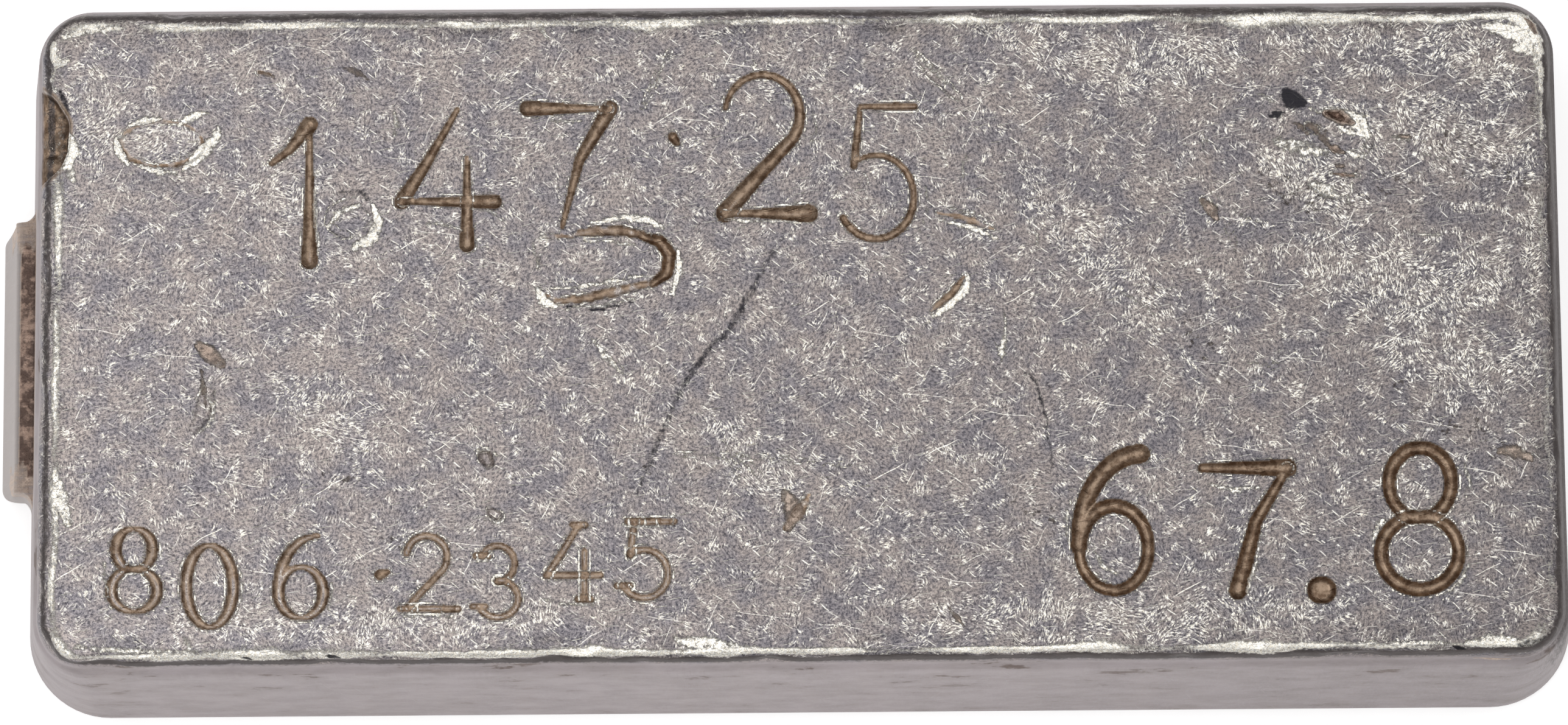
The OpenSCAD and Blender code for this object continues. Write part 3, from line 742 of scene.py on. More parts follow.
def graded_points(grooves, smears):
    """Grid points of the struck patch, dense at grooves and coarse on the plain face."""
    limit = AXIS + PATCH_RHO
    size = FINE * 2 ** LEVELS
    count = np.ceil(2 * limit / size).astype(int)
    i, j = np.meshgrid(np.arange(count[0]), np.arange(count[1]), indexing="ij")
    cells = np.stack([i.ravel(), j.ravel()], 1) * 2 ** LEVELS
    origin = -count * size / 2
    flaw_centre = np.array([-FACE_LENGTH / 2 + 0.2, FLAW_OFFSET])
    leaves = []
    for level in range(LEVELS, -1, -1):
        step = 2 ** level
        size = FINE * step
        middle = origin + (cells + step / 2) * FINE
        _, _, rho = unroll(middle)
        kept = rho < PATCH_RHO + size
        cells, middle, rho = cells[kept], middle[kept], rho[kept]
        if level == 0:
            leaves.append((cells, step))
            break
        gap = feature_gap(middle, grooves)
        gap = np.minimum(gap, np.maximum(np.hypot(*(middle - flaw_centre).T) - 2.6, 0) + 0.05)
        split = gap < 1.15 * size - 0.03
        if level >= 2:
            split |= feature_gap(middle, smears) < 0.6 * size
        on_edge = (rho > HEAD_RHO - 0.7) & (rho < PATCH_RHO + size)
        split |= (level >= 2) & on_edge
        split |= level >= 3
        leaves.append((cells[~split], step))
        parent = cells[split]
        half = step // 2
        cells = np.concatenate([parent + np.array(c) * half for c in ((0, 0), (1, 0), (0, 1), (1, 1))])
    corners = [cells + np.array(c) * step for cells, step in leaves
               for c in ((0, 0), (1, 0), (0, 1), (1, 1))]
    keys = np.unique(np.concatenate(corners), axis=0)
    return origin + keys * FINE


def snap_to_rims(points, grooves):
    """Moves points that lie close to a groove's rim onto it, so that the rim is crisp."""
    reach = FINE * 0.48
    moved = points.copy()
    for groove in grooves:
        pick = groove.near(points)
        here = points[pick]
        rim, _, _ = groove.rim(here)
        close = np.abs(rim) < reach
        pick, here, rim = pick[close], here[close], rim[close]
        if not len(pick):
            continue
        probe = 0.01
        slope = np.stack([groove.rim(here + np.array(d))[0] - rim
                          for d in ((probe, 0), (0, probe))], 1) / probe
        length = np.maximum(np.hypot(*slope.T), 1e-6)
        moved[pick] = here - slope * (rim / length ** 2)[:, None]
    return moved


# Stations round the bar: an anchor on the corner-axis rectangle and an outward direction


def stations():
    """Anchors and directions, counter-clockwise from the +X end's lower corner."""
    spacing = 0.32
    turn = 14
    anchors, outs = [], []
    corner_signs = ((1, 1), (-1, 1), (-1, -1), (1, -1))
    lip_half = LIP_WIDTH / 2
    bend = np.radians(np.linspace(0, 90, 9))
    lip_side = np.concatenate([lip_half - LIP_CORNER + LIP_CORNER * np.sin(bend),
                               lip_half + LIP_ROOT * (1 - np.cos(bend[1:]))])
    for side in range(4):
        sx, sy = corner_signs[side]
        for k in range(turn):
            angle = math.pi / 2 * (side + k / turn)
            anchors.append((sx * AXIS[0], sy * AXIS[1]))
            outs.append((math.cos(angle), math.sin(angle)))
        along_x = side % 2 == 0
        half = AXIS[0] if along_x else AXIS[1]
        if side == 1:
            middle = np.linspace(-lip_side[0], lip_side[0], 42)[1:-1]
            outer = np.linspace(lip_side[-1], half, 18)[1:-1]
            values = np.concatenate([-outer, -lip_side, middle, lip_side, outer])
        else:
            values = np.linspace(-half, half, int(2 * half / spacing))[1:-1]
        values = np.sort(values)
        values = np.concatenate([[-half], values])
        direction = ((0, 1), (-1, 0), (0, -1), (1, 0))[side]
        for value in values:
            along = -value if side < 2 else value
            anchors.append((along, sy * AXIS[1]) if along_x else (sx * AXIS[0], along))
            outs.append(direction)
    return np.array(anchors, float), np.array(outs, float)


def lip_plan(y):
    """How far the lip stands out of the end wall, seen from above."""
    y = np.abs(y)
    flat = LIP_WIDTH / 2 - LIP_CORNER
    convex = LIP_REACH - LIP_CORNER + np.sqrt(np.maximum(LIP_CORNER ** 2 - (y - flat) ** 2, 0))
    root = LIP_WIDTH / 2 + LIP_ROOT
    concave = LIP_ROOT - np.sqrt(np.maximum(LIP_ROOT ** 2 - (root - y) ** 2, 0))
    plan = np.where(y <= flat, LIP_REACH, np.where(y <= LIP_WIDTH / 2, convex, concave))
    return np.where(y >= root, 0.0, plan)


def lip_top(y):
    """Height of the lip above the floor, with its rounded shoulders."""
    shoulder = LIP_WIDTH / 2 + LIP_ROOT - LIP_SHOULDER
    drop = np.sqrt(np.maximum(LIP_SHOULDER ** 2 - np.maximum(np.abs(y) - shoulder, 0) ** 2, 0))
    return LIP_HEIGHT - LIP_SHOULDER + drop


# How brown the lip is, by the number of the wall's row: its top, and the wall just above it
LIP_RUST = {2: 0.3, 3: 0.4, 4: 0.5, 5: 0.6, 6: 0.7, 7: 0.8, 8: 1.0, 9: 1.3, 10: 1.4, 11: 1.4,
            12: 1.35, 13: 1.2, 14: 0.3}

# At both ends of the lip the brown is a thin, even tan, over these rows
TAN_ROWS = range(7, 20)
TAN = 0.85


def lip_rust(row, y):
    """How brown one row of the wall is at the lip."""
    y = np.abs(y + 0.5 * ripple(np.column_stack([y, np.full(len(y), 3.0 * row)]), 5, 77))
    middle = LIP_RUST.get(row, 0.0) * (1 - smooth(y, LIP_WIDTH / 2 - 1.4, LIP_WIDTH / 2 - 0.4))
    ends = smooth(y, LIP_WIDTH / 2 - 2.0, LIP_WIDTH / 2 - 0.8) * (row in TAN_ROWS) * TAN
    return np.maximum(middle, ends)


# How fast the texture runs down the walls, which are seen nearly edge on
WALL_PACE = 0.25


def side_rows(anchors, outs):
    """Distance out and height of the wall's rows at each station, from the patch down."""
    on_lip_end = (outs[:, 0] < -0.999) & (np.abs(anchors[:, 1]) < LIP_WIDTH / 2 + LIP_ROOT)
    plan = np.where(on_lip_end, lip_plan(anchors[:, 1]), 0)
    top = np.where(on_lip_end, lip_top(anchors[:, 1]), LIP_HEIGHT - LIP_SHOULDER)
    wall = lambda z: BASE_RADIUS - z * TAN_DRAFT
    saw = lambda z: LIP_REACH - z * (math.tan(LIP_SAW) - TAN_DRAFT)
    rows = []
    for share in np.linspace(0, 1, 11)[1:-1]:
        z = PATCH_Z + (top - PATCH_Z) * share
        rows.append((wall(z), z))
    stand = np.minimum(plan, saw(top))
    edge = np.minimum(LIP_EDGE, stand / 2)
    for share in (0.0, 0.35, 0.7):
        rows.append((wall(top) + (stand - edge) * share, top))
    for angle in np.radians(np.linspace(90, 15, 5)):
        z = top - edge * (1 - math.sin(angle))
        rows.append((wall(top) + stand - edge * (1 - math.cos(angle)), z))
    foot = POURED_EDGE + (LIP_EDGE - POURED_EDGE) * smooth(plan, 0.2, 1.4)
    lean = np.where(plan > 0.9, LIP_SAW, DRAFT)
    reach = BASE_RADIUS + plan
    foot_x = reach - foot * (1 / np.cos(lean) + np.tan(lean))
    low = foot * (1 + np.sin(lean))
    high = top - edge
    high_out = rows[-1][0]
    low_out = foot_x + foot * np.cos(lean)
    for share in np.linspace(0, 1, 9)[1:]:
        rows.append((high_out + (low_out - high_out) * share, high + (low - high) * share))
    for turn in np.linspace(0, 1, 7)[1:]:
        angle = lean * (1 - turn) - math.pi / 2 * turn
        rows.append((foot_x + foot * np.cos(angle), foot * (1 + np.sin(angle))))
    return [(np.broadcast_to(r, top.shape), np.broadcast_to(z, top.shape)) for r, z in rows]


def cut_flaw(place):
    """Lowers the skin to the cold shut's floor, and says where it did."""
    radius = (FLAW_LENGTH ** 2 / 4 + FLAW_WIDTH ** 2) / (2 * FLAW_WIDTH)
    x = place[:, 0] + FACE_LENGTH / 2 + radius - FLAW_WIDTH
    y = place[:, 1] - FLAW_OFFSET
    wobble = 0.10 * ripple(place[:, :2], 0.8, 31)
    within = radius + wobble - np.hypot(x, y)
    inside = smooth(within, -0.05, 0.12)
    outwards = -(place[:, 0] + FACE_LENGTH / 2)
    floor = HEIGHT - FLAW_DEPTH - outwards * math.tan(FLAW_SLOPE)
    floor = floor + 0.22 * ripple(place[:, :2], 0.6, 32) + 0.05 * ripple(place[:, :2], 0.3, 33)
    floor = np.minimum(floor, HEIGHT - 0.5)
    lowered = np.minimum(place[:, 2], place[:, 2] * (1 - inside) + floor * inside)
    flaw = inside * (place[:, 2] - lowered > 0.02)
    # painted shade: the cold shut is darker near its rim, where its walls drop
    deep = flaw * np.exp(-(within / 0.35) ** 2)
    # painted highlights: bright bare patches on the cold shut's floor
    clean = flaw * smooth(ripple(place[:, :2], 0.5, 34), -0.1, 0.6) * smooth(within, 0.3, 0.6)
    lip = (1 - flaw) * np.exp(-((within + 0.10) / 0.10) ** 2)
    return lowered, flaw, deep, clean, lip


def cut_knocks(place):
    """Pushes the skin out of the rounded knocks."""
    throw = STRUCK_EDGE + KNOCK_RADIUS - KNOCK_DEPTH
    inset = head_inset(STRUCK_EDGE, DRAFT)
    hit = np.zeros(len(place))
    for compass, share in KNOCKS:
        on_end = compass % 180 == 0
        out = (FACE_LENGTH if on_end else FACE_WIDTH) / 2 - inset + throw * math.cos(math.pi / 4)
        along = share * (FACE_WIDTH if on_end else FACE_LENGTH) / 2
        turn = math.radians(compass)
        centre = np.array([out * math.cos(turn) - along * math.sin(turn),
                           out * math.sin(turn) + along * math.cos(turn),
                           HEIGHT - STRUCK_EDGE + throw * math.sin(math.pi / 4)])
        away = place - centre
        gap = np.sqrt((away ** 2).sum(1))
        inside = gap < KNOCK_RADIUS
        place[inside] = centre + away[inside] * (KNOCK_RADIUS / gap[inside])[:, None]
        hit = np.maximum(hit, smooth(KNOCK_RADIUS + 0.15 - gap, 0, 0.3))
    return place, hit


def triangulate(points, ring_size):
    """Triangles of points whose first ring_size ones are the closed boundary, in order."""
    ring = [(i, (i + 1) % ring_size) for i in range(ring_size)]
    vectors = [Vector((float(x), float(y))) for x, y in points]
    out, _, faces, origins, _, _ = delaunay_2d_cdt(vectors, ring, [], 1, 1e-7)
    source = np.array([ids[0] if ids else -1 for ids in origins])
    return np.array([tuple(v) for v in out]), [tuple(face) for face in faces], source


def make_bar():
    """One closed mesh: the struck patch, the walls with the lip, and the poured face."""
    grooves = make_marks() + make_damage()
    anchors, outs = stations()
    ring = anchors + outs * PATCH_RHO
    count = len(ring)
    smears = make_smears()
    inner = graded_points(grooves, smears["bright"] + smears["dark"] + smears["brown"])
    inner = snap_to_rims(inner, grooves)
    _, _, rho = unroll(inner)
    inner = inner[rho < PATCH_RHO - 0.14]
    flat, faces, source = triangulate(np.concatenate([ring, inner]), count)
    place, normal, past = roll_up(flat)
    depth, stain, bare_and_highlight, sunk = relief(flat, past, grooves)
    masks = {kind: soft_mask(flat, lines) for kind, lines in smears.items()}
    depth = depth - masks["bright"][1]
    worn = edge_depth(flat, past)
    fade = 1 - smooth(past, ARC_LENGTH + WALL_TOP - 0.5, ARC_LENGTH + WALL_TOP)
    depth = (depth + worn) * fade
    place = place - normal * depth[:, None]
    place, knock = cut_knocks(place)
    place[:, 2], flaw, flaw_shade, flaw_highlight, flaw_rim = cut_flaw(place)
    place[:, 2] = np.minimum(place[:, 2], HEIGHT)
    edge, edge_shade_and_dark_end = edge_highlight_and_shade(flat, past, unroll(flat)[1])
    skins = [np.column_stack([flat, np.zeros(len(flat))])]
    verts = [place]
    stain = np.maximum(stain, np.maximum(flaw - 0.4 * flaw_highlight, 0.6 * flaw_rim))
    bare_and_highlight = np.maximum(bare_and_highlight, 0.45 * flaw_highlight)
    columns = {"stain": [stain], "bare_and_highlight": [bare_and_highlight], "sunk": [sunk],
               "edge": [np.maximum(edge, 0.6 * knock)], "past": [past], "edge_shade_and_dark_end": [edge_shade_and_dark_end],
               "shine": [masks["bright"][0]],
               "soot_and_shade": [np.maximum(masks["dark"][0], 1.3 * flaw_shade)],
               "rust": [masks["brown"][0]], "grain": [masks["grain"][0]],
               "sawn": [np.zeros(len(flat))]}
    back_to = {s: i for i, s in enumerate(source) if 0 <= s < count}
    previous = np.array([back_to[i] for i in range(count)])
    polygons = list(faces)
    on_lip = (outs[:, 0] < -0.999) & (np.abs(anchors[:, 1]) < LIP_WIDTH / 2 + LIP_ROOT)

    total = len(place)
    unrolled = PATCH_RHO
    slow = PATCH_RHO
    last_out, last_z = None, None
    for number, (reach, z) in enumerate(side_rows(anchors, outs)):
        if last_out is not None:
            stride = float(np.mean(np.hypot(reach - last_out, z - last_z)))
            unrolled = unrolled + stride
            slow = slow + WALL_PACE * stride
        last_out, last_z = reach, z
        row = np.column_stack([anchors + outs * reach[:, None], z])
        verts.append(row)
        skins.append(np.column_stack([anchors + outs * slow, np.zeros(count)]))
        for name in columns:
            if name == "past":
                columns[name].append(np.full(count, unrolled - HEAD_RHO))
            elif name == "rust":
                columns[name].append(np.where(on_lip, lip_rust(number, anchors[:, 1]), 0.0))
            elif name == "edge_shade_and_dark_end":
                columns[name].append(far_end_dark(unrolled - HEAD_RHO, outs))
            elif name == "sawn":
                columns[name].append(np.where(on_lip, float(number > 13), 0.0))
            else:
                columns[name].append(np.zeros(count))
        current = np.arange(total, total + count)
        after = np.roll(np.arange(count), -1)
        for k in range(count):
            n = after[k]
            polygons.append((previous[k], current[k], current[n], previous[n]))
        previous = current
        total += count

    bottom_ring = anchors + outs * last_out[:, None]
    step = 0.9
    xs = np.arange(bottom_ring[:, 0].min(), bottom_ring[:, 0].max(), step)
    ys = np.arange(bottom_ring[:, 1].min(), bottom_ring[:, 1].max(), step)
    grid = np.stack(np.meshgrid(xs, ys, indexing="ij"), -1).reshape(-1, 2)
    _, _, rho = unroll(grid)
    across = np.hypot(grid[:, 0] / (SINK_LENGTH / 2), grid[:, 1] / (SINK_WIDTH / 2))
    clear_of_rim = np.abs(across - 1) > 0.5 / (SINK_WIDTH / 2)
    grid = grid[(rho < FOOT_RHO - 0.5) & clear_of_rim]
    turn = np.radians(np.arange(0, 360, 2))
    rim = np.stack([SINK_LENGTH / 2 * np.cos(turn), SINK_WIDTH / 2 * np.sin(turn)], 1)
    flat, faces, source = triangulate(np.concatenate([bottom_ring, rim, grid]), count)
    bowl = 1 - (flat[:, 0] / (SINK_LENGTH / 2)) ** 2 - (flat[:, 1] / (SINK_WIDTH / 2)) ** 2
    rings = 0.035 * (1 + np.cos(9 * np.sqrt(np.maximum(1 - bowl, 0)) + 1.5 * ripple(flat, 12, 41)))
    z = SINK_DEPTH * np.maximum(bowl, 0) + rings * smooth(bowl, 0.02, 0.3)
    number = np.empty(len(flat), int)
    for i, s in enumerate(source):
        if 0 <= s < count:
            number[i] = previous[s]
        else:
            number[i] = total
            verts.append(np.array([[flat[i, 0], flat[i, 1], z[i]]]))
            skins.append(np.array([[flat[i, 0], flat[i, 1], 50.0]]))
            for name in columns:
                columns[name].append(np.array([20.0 if name == "past" else 0.0]))
            total += 1
    polygons += [tuple(number[list(face)][::-1]) for face in faces]

    coordinates = np.concatenate(verts) + np.array([BLOCK_X, 0, 0])
    mesh = bpy.data.meshes.new("silver_bar_skin")
    mesh.from_pydata((coordinates * MM).tolist(), [], [tuple(int(i) for i in p) for p in polygons])
    for name, parts in columns.items():
        layer = mesh.attributes.new(name, "FLOAT", "POINT")
        layer.data.foreach_set("value", np.concatenate(parts).astype(np.float32))
    layer = mesh.attributes.new("skin", "FLOAT_VECTOR", "POINT")
    layer.data.foreach_set("vector", np.concatenate(skins).astype(np.float32).ravel())
    weld(mesh)
    mesh.polygons.foreach_set("use_smooth", [True] * len(mesh.polygons))
    mesh.update()
    bar = bpy.data.objects.new("struck_bar", mesh)
    bpy.context.scene.collection.objects.link(bar)
    return bar


def weld(mesh):
    """Joins the rows that meet where there is no lip, and drops what they leave empty."""
    import bmesh
    work = bmesh.new()
    work.from_mesh(mesh)
    bmesh.ops.remove_doubles(work, verts=work.verts, dist=2e-7)
    bmesh.ops.dissolve_degenerate(work, edges=work.edges, dist=1e-8)
    bmesh.ops.recalc_face_normals(work, faces=work.faces)
    work.to_mesh(mesh)
    work.free()


# Material


class Graph:
    """Short calls for shader nodes."""

    def __init__(self, material):
        material.use_nodes = True
        self.tree = material.node_tree
        self.tree.nodes.clear()

    def node(self, kind, settings=None, **inputs):
        node = self.tree.nodes.new(kind)
        for name, value in (settings or {}).items():
            setattr(node, name, value)
        for name, value in inputs.items():
            socket = node.inputs[int(name[1:])] if name[0] == "_" else node.inputs[name]
            if isinstance(value, bpy.types.NodeSocket):
                self.tree.links.new(value, socket)
            else:
                socket.default_value = value
        return node

    def attribute(self, name, vector=False):
        node = self.node("ShaderNodeAttribute", {"attribute_name": name})
        return node.outputs["Vector" if vector else "Fac"]

    def math(self, operation, a, b=0.0, c=0.0):
        return self.node("ShaderNodeMath", {"operation": operation}, _0=a, _1=b, _2=c).outputs[0]

    def ramp(self, value, low, high, to_low=0.0, to_high=1.0, soft=True):
        kind = "SMOOTHSTEP" if soft else "LINEAR"
        return self.node("ShaderNodeMapRange", {"interpolation_type": kind}, Value=value,
                         **{"From Min": low, "From Max": high, "To Min": to_low,
                            "To Max": to_high}).outputs[0]

    def noise(self, vector, scale, detail=2.0, roughness=0.5, distortion=0.0):
        return self.node("ShaderNodeTexNoise", {"noise_dimensions": "3D"}, Vector=vector,
                         Scale=scale, Detail=detail, Roughness=roughness,
                         Distortion=distortion).outputs["Fac"]

    def mix(self, factor, a, b, blend="MIX"):
        node = self.node("ShaderNodeMix", {"data_type": "RGBA", "blend_type": blend})
        for socket, value in ((node.inputs[0], factor), (node.inputs[6], a), (node.inputs[7], b)):
            if isinstance(value, bpy.types.NodeSocket):
                self.tree.links.new(value, socket)
            elif socket.name == "Factor":
                socket.default_value = value
            else:
                socket.default_value = (*value, 1.0)
        return node.outputs[2]

    def dashes(self, skin, angle, length, width, spacing, keep, seed):
        """Short straight scratches at one angle, scattered at random, from 0 to 1."""
        turned = self.node("ShaderNodeMapping", {"vector_type": "POINT"}, Vector=skin,
                           Location=(seed * 17.3, seed * 5.1, 0.0),
                           Rotation=(0.0, 0.0, math.radians(angle)),
                           Scale=(1.0 / length, 1.0 / spacing, 1.0)).outputs[0]
        cell = self.node("ShaderNodeTexVoronoi", {"voronoi_dimensions": "2D", "feature": "F1"},
                         Vector=turned, Scale=1.0, Randomness=1.0)
        off = self.node("ShaderNodeVectorMath", {"operation": "SUBTRACT"},
                        _0=turned, _1=cell.outputs["Position"]).outputs[0]
        off = self.node("ShaderNodeVectorMath", {"operation": "ABSOLUTE"}, _0=off).outputs[0]
        part = self.node("ShaderNodeSeparateXYZ", Vector=off)
        along = self.ramp(part.outputs["X"], 0.18, 0.42, 1.0, 0.0)
        across = self.ramp(part.outputs["Y"], 0.0, width / spacing / 2, 1.0, 0.0)
        pick = self.node("ShaderNodeSeparateColor", Color=cell.outputs["Color"])
        chosen = self.ramp(pick.outputs["Red"], 1 - keep, 1.0, 0.0, 1.0, soft=False)
        return self.math("MULTIPLY", self.math("MULTIPLY", along, across), chosen)


# Sets of scratches: angle, length, width, distance apart, and the share that is there
SCRATCHES = (
    (62, 1.2, 0.055, 0.50, 0.55), (-24, 1.0, 0.055, 0.45, 0.55), (18, 4.0, 0.045, 1.7, 0.35),
    (-50, 3.6, 0.050, 1.7, 0.35), (108, 2.4, 0.045, 1.6, 0.30))

# How many of them, from the first, are also cut into the relief
SUNK_SCRATCHES = 2


def silver_material():
    material = bpy.data.materials.new("worn_silver")
    graph = Graph(material)
    skin = graph.attribute("skin", vector=True)
    past = graph.attribute("past")
    wall = graph.ramp(past, 0.5, 1.3)

    # tarnish: fine grain, rubbed one way in each small patch, in pinkish and bluish clouds
    stirred = graph.node("ShaderNodeVectorMath", {"operation": "MULTIPLY_ADD"},
                         _0=graph.node("ShaderNodeTexNoise", Vector=skin, Scale=1.3,
                                       Detail=2.0).outputs["Color"],
                         _1=(1.2, 1.2, 0.0), _2=skin).outputs[0]
    cell = graph.node("ShaderNodeTexVoronoi", {"voronoi_dimensions": "2D", "feature": "F1"},
                      Vector=stirred, Scale=0.9, Randomness=1.0)
    way = graph.node("ShaderNodeSeparateColor", Color=cell.outputs["Color"]).outputs["Red"]
    turned = graph.node("ShaderNodeVectorRotate", {"rotation_type": "Z_AXIS"}, Vector=skin,
                        Angle=graph.math("MULTIPLY", way, 6.28)).outputs[0]
    rubbed = graph.node("ShaderNodeMapping", {"vector_type": "POINT"}, Vector=turned,
                        Scale=(12.0, 3.6, 1.0)).outputs[0]
    hair = graph.noise(rubbed, 1.0, 4.0, 0.78)
    mottle = graph.noise(skin, 7.0, 4.0, 0.80)
    fine = graph.math("MULTIPLY_ADD", hair, 0.4, graph.math("MULTIPLY", mottle, 0.6))
    tarnish = graph.mix(graph.ramp(fine, 0.40, 0.60), (0.085, 0.082, 0.095), (0.42, 0.39, 0.385))
    patch = graph.noise(skin, 0.5, 5.0, 0.66)
    tint = graph.mix(graph.ramp(patch, 0.36, 0.64), (0.78, 0.775, 0.82), (1.16, 1.09, 1.02))
    tarnish = graph.mix(1.0, tarnish, tint, "MULTIPLY")
    # painted light: the face's colour is lighter towards the lip's end and darker towards the far end,
    # standing in for more light falling on the lip's end
    along = graph.node("ShaderNodeSeparateXYZ", Vector=skin).outputs["X"]
    along = graph.ramp(along, -FACE_LENGTH / 2, FACE_LENGTH / 2, 0.11, -0.08, soft=False)
    tarnish = graph.mix(graph.math("ADD", along, 0.5), (0.0, 0.0, 0.0), tarnish)
    tarnish = graph.mix(1.0, tarnish, (2.0, 2.0, 2.0), "MULTIPLY")
    specks = graph.ramp(hair, 0.37, 0.47, 1.0, 0.0)
    specks = graph.math("MULTIPLY", specks, graph.ramp(graph.noise(skin, 1.2, 3.0, 0.66), 0.48, 0.62))
    tarnish = graph.mix(graph.math("MULTIPLY", specks, 0.75), tarnish, (0.065, 0.055, 0.06))

    # chips in clusters, each cluster with its own direction
    grain = graph.attribute("grain")
    crowd = graph.math("MULTIPLY_ADD", grain, 0.18, graph.noise(stirred, 1.5, 3.0, 0.66))
    crowd = graph.ramp(crowd, 0.51, 0.62)
    slabs = graph.ramp(graph.noise(rubbed, 0.42, 2.0, 0.55), 0.57, 0.66, 0.0, 0.07)
    chips = graph.math("MULTIPLY", graph.ramp(graph.math("ADD", hair, slabs), 0.50, 0.59), crowd)

    # long scratches of bare silver, whose bright colour also paints their glints as a highlight
    bent = graph.node("ShaderNodeVectorMath", {"operation": "MULTIPLY_ADD"},
                      _0=graph.node("ShaderNodeTexNoise", Vector=skin, Scale=0.6,
                                    Detail=1.0).outputs["Color"],
                      _1=(0.4, 0.4, 0.0), _2=skin).outputs[0]
    flecks = None
    course = bent
    for seed, (angle, length, width, spacing, keep) in enumerate(SCRATCHES):
        layer = graph.dashes(course, angle, length, width, spacing, keep, seed + 1)
        flecks = layer if flecks is None else graph.math("MAXIMUM", flecks, layer)
        if seed == SUNK_SCRATCHES - 1:
            sunk_flecks = flecks
        # each set of scratches is nudged where it crosses the ones before it
        course = graph.node("ShaderNodeVectorMath", {"operation": "MULTIPLY_ADD"},
                            _0=flecks, _1=(0.03, 0.03, 0.0), _2=bent).outputs[0]
    flecks = graph.math("MULTIPLY", flecks, graph.ramp(mottle, 0.38, 0.50, 0.3, 1.3))
    flecks = graph.math("MINIMUM", flecks, 1.0)
    flecks = graph.math("MAXIMUM", flecks, chips)
    flecks = graph.math("MULTIPLY", flecks, graph.ramp(wall, 0.0, 1.0, 1.0, 0.15))
    stain = graph.attribute("stain")
    flecks = graph.math("MULTIPLY", flecks, graph.ramp(stain, 0.1, 0.6, 1.0, 0.15))

    # bare metal and painted highlights: burrs, the painted highlight along the rounded edge and
    # pushed-up streaks, broken up by fine grain
    crumbs = graph.noise(bent, 3.4, 5.0, 0.72)
    bare_and_highlight = graph.math("MAXIMUM", graph.attribute("bare_and_highlight"), graph.attribute("shine"))
    there = graph.ramp(bare_and_highlight, 0.0, 0.3)
    torn = graph.math("MULTIPLY_ADD", crumbs, 2.4, bare_and_highlight)
    torn = graph.math("MULTIPLY_ADD", hair, 1.2, torn)
    bare_and_highlight = graph.math("MULTIPLY", graph.ramp(torn, 2.20, 2.75), there)
    # the edge attribute: a painted highlight where the edge starts to round, with bare metal at the
    # knocks
    worn = graph.math("MULTIPLY_ADD", hair, 1.3, graph.attribute("edge"))
    worn = graph.math("MULTIPLY_ADD", crumbs, 1.5, worn)
    bare_and_highlight = graph.math("MAXIMUM", bare_and_highlight, graph.ramp(worn, 1.75, 2.4))
    # painted shade: thin dark lines in the creases of the crumpled bare metal
    crease_shade = graph.math("ABSOLUTE", graph.math("SUBTRACT", graph.noise(bent, 4.6, 3.0, 0.7), 0.5))
    crease_shade = graph.math("MULTIPLY", graph.ramp(crease_shade, 0.0, 0.035, 1.0, 0.0), bare_and_highlight)
    # bare metal, scratches and chips take the bright silver colour, which also stands in for their
    # glints: painted highlight
    bright = graph.math("MAXIMUM", bare_and_highlight, flecks)
    metal = graph.mix(graph.ramp(mottle, 0.42, 0.56), (0.95, 0.88, 0.75), (0.96, 0.94, 0.89))
    colour = graph.mix(bright, tarnish, metal)
    colour = graph.mix(graph.math("MULTIPLY", crease_shade, 0.85), colour, (0.22, 0.20, 0.19))

    # dark scrapes, painted shade in the cold shut, brown stain, and dirt in the sunk lines
    soot_and_shade = graph.math("MULTIPLY_ADD", crumbs, 2.0, graph.attribute("soot_and_shade"))
    soot_and_shade = graph.ramp(soot_and_shade, 1.35, 2.1)
    colour = graph.mix(graph.math("MULTIPLY", soot_and_shade, 0.96), colour, (0.022, 0.021, 0.026))
    dirt_tone = graph.mix(graph.ramp(graph.noise(skin, 2.2, 4.0, 0.7), 0.38, 0.62),
                          (0.145, 0.095, 0.064), (0.34, 0.25, 0.18))
    dirt_tone = graph.mix(graph.ramp(stain, 0.20, 0.75), (0.44, 0.335, 0.24), dirt_tone)
    dirt = graph.math("MULTIPLY", graph.ramp(stain, 0.0, 0.8), graph.math("SUBTRACT", 1.0, bare_and_highlight))
    colour = graph.mix(dirt, colour, dirt_tone)

    # the walls: smooth cast skin under a band of painted shade at the rounded edge, and the far end
    # wall darker for most of its height
    solid = graph.node("ShaderNodeTexCoord").outputs["Object"]
    course = graph.node("ShaderNodeMapping", {"vector_type": "POINT"}, Vector=solid,
                        Scale=(350.0, 350.0, 800.0)).outputs[0]
    streak = graph.noise(course, 1.0, 5.0, 0.65)
    wall_tone = graph.mix(graph.ramp(streak, 0.36, 0.64), (0.36, 0.32, 0.32), (0.42, 0.375, 0.382))
    fleck_tone = graph.math("MULTIPLY", graph.ramp(streak, 0.33, 0.40, 1.0, 0.0),
                            graph.ramp(past, 2.0, 7.0, 0.9, 0.25))
    # painted shade: the walls are darker from about the middle towards the far end, following the
    # painted light on the face
    far_end_painted_shade = graph.math("MULTIPLY", graph.math("MINIMUM", graph.math("ADD", along, 0.5), 0.5), 2.0)
    wall_tone = graph.mix(far_end_painted_shade, (0.0, 0.0, 0.0), wall_tone)
    wall_tone = graph.mix(fleck_tone, wall_tone, (0.16, 0.12, 0.105))
    wall_tone = graph.mix(graph.attribute("sawn"), wall_tone, (0.45, 0.41, 0.395))
    colour = graph.mix(graph.math("MULTIPLY", graph.ramp(past, 1.1, 1.7), 0.9), colour, wall_tone)
    # painted shade: a dark band on the rounded edge, kept off the bare metal and the painted
    # highlights
    band = graph.math("MULTIPLY_ADD", crumbs, 1.8, graph.attribute("edge_shade_and_dark_end"))
    band = graph.math("MULTIPLY", graph.ramp(band, 1.15, 1.85), graph.ramp(bare_and_highlight, 0.2, 0.8, 0.95, 0.1))
    colour = graph.mix(band, colour, (0.095, 0.082, 0.080))

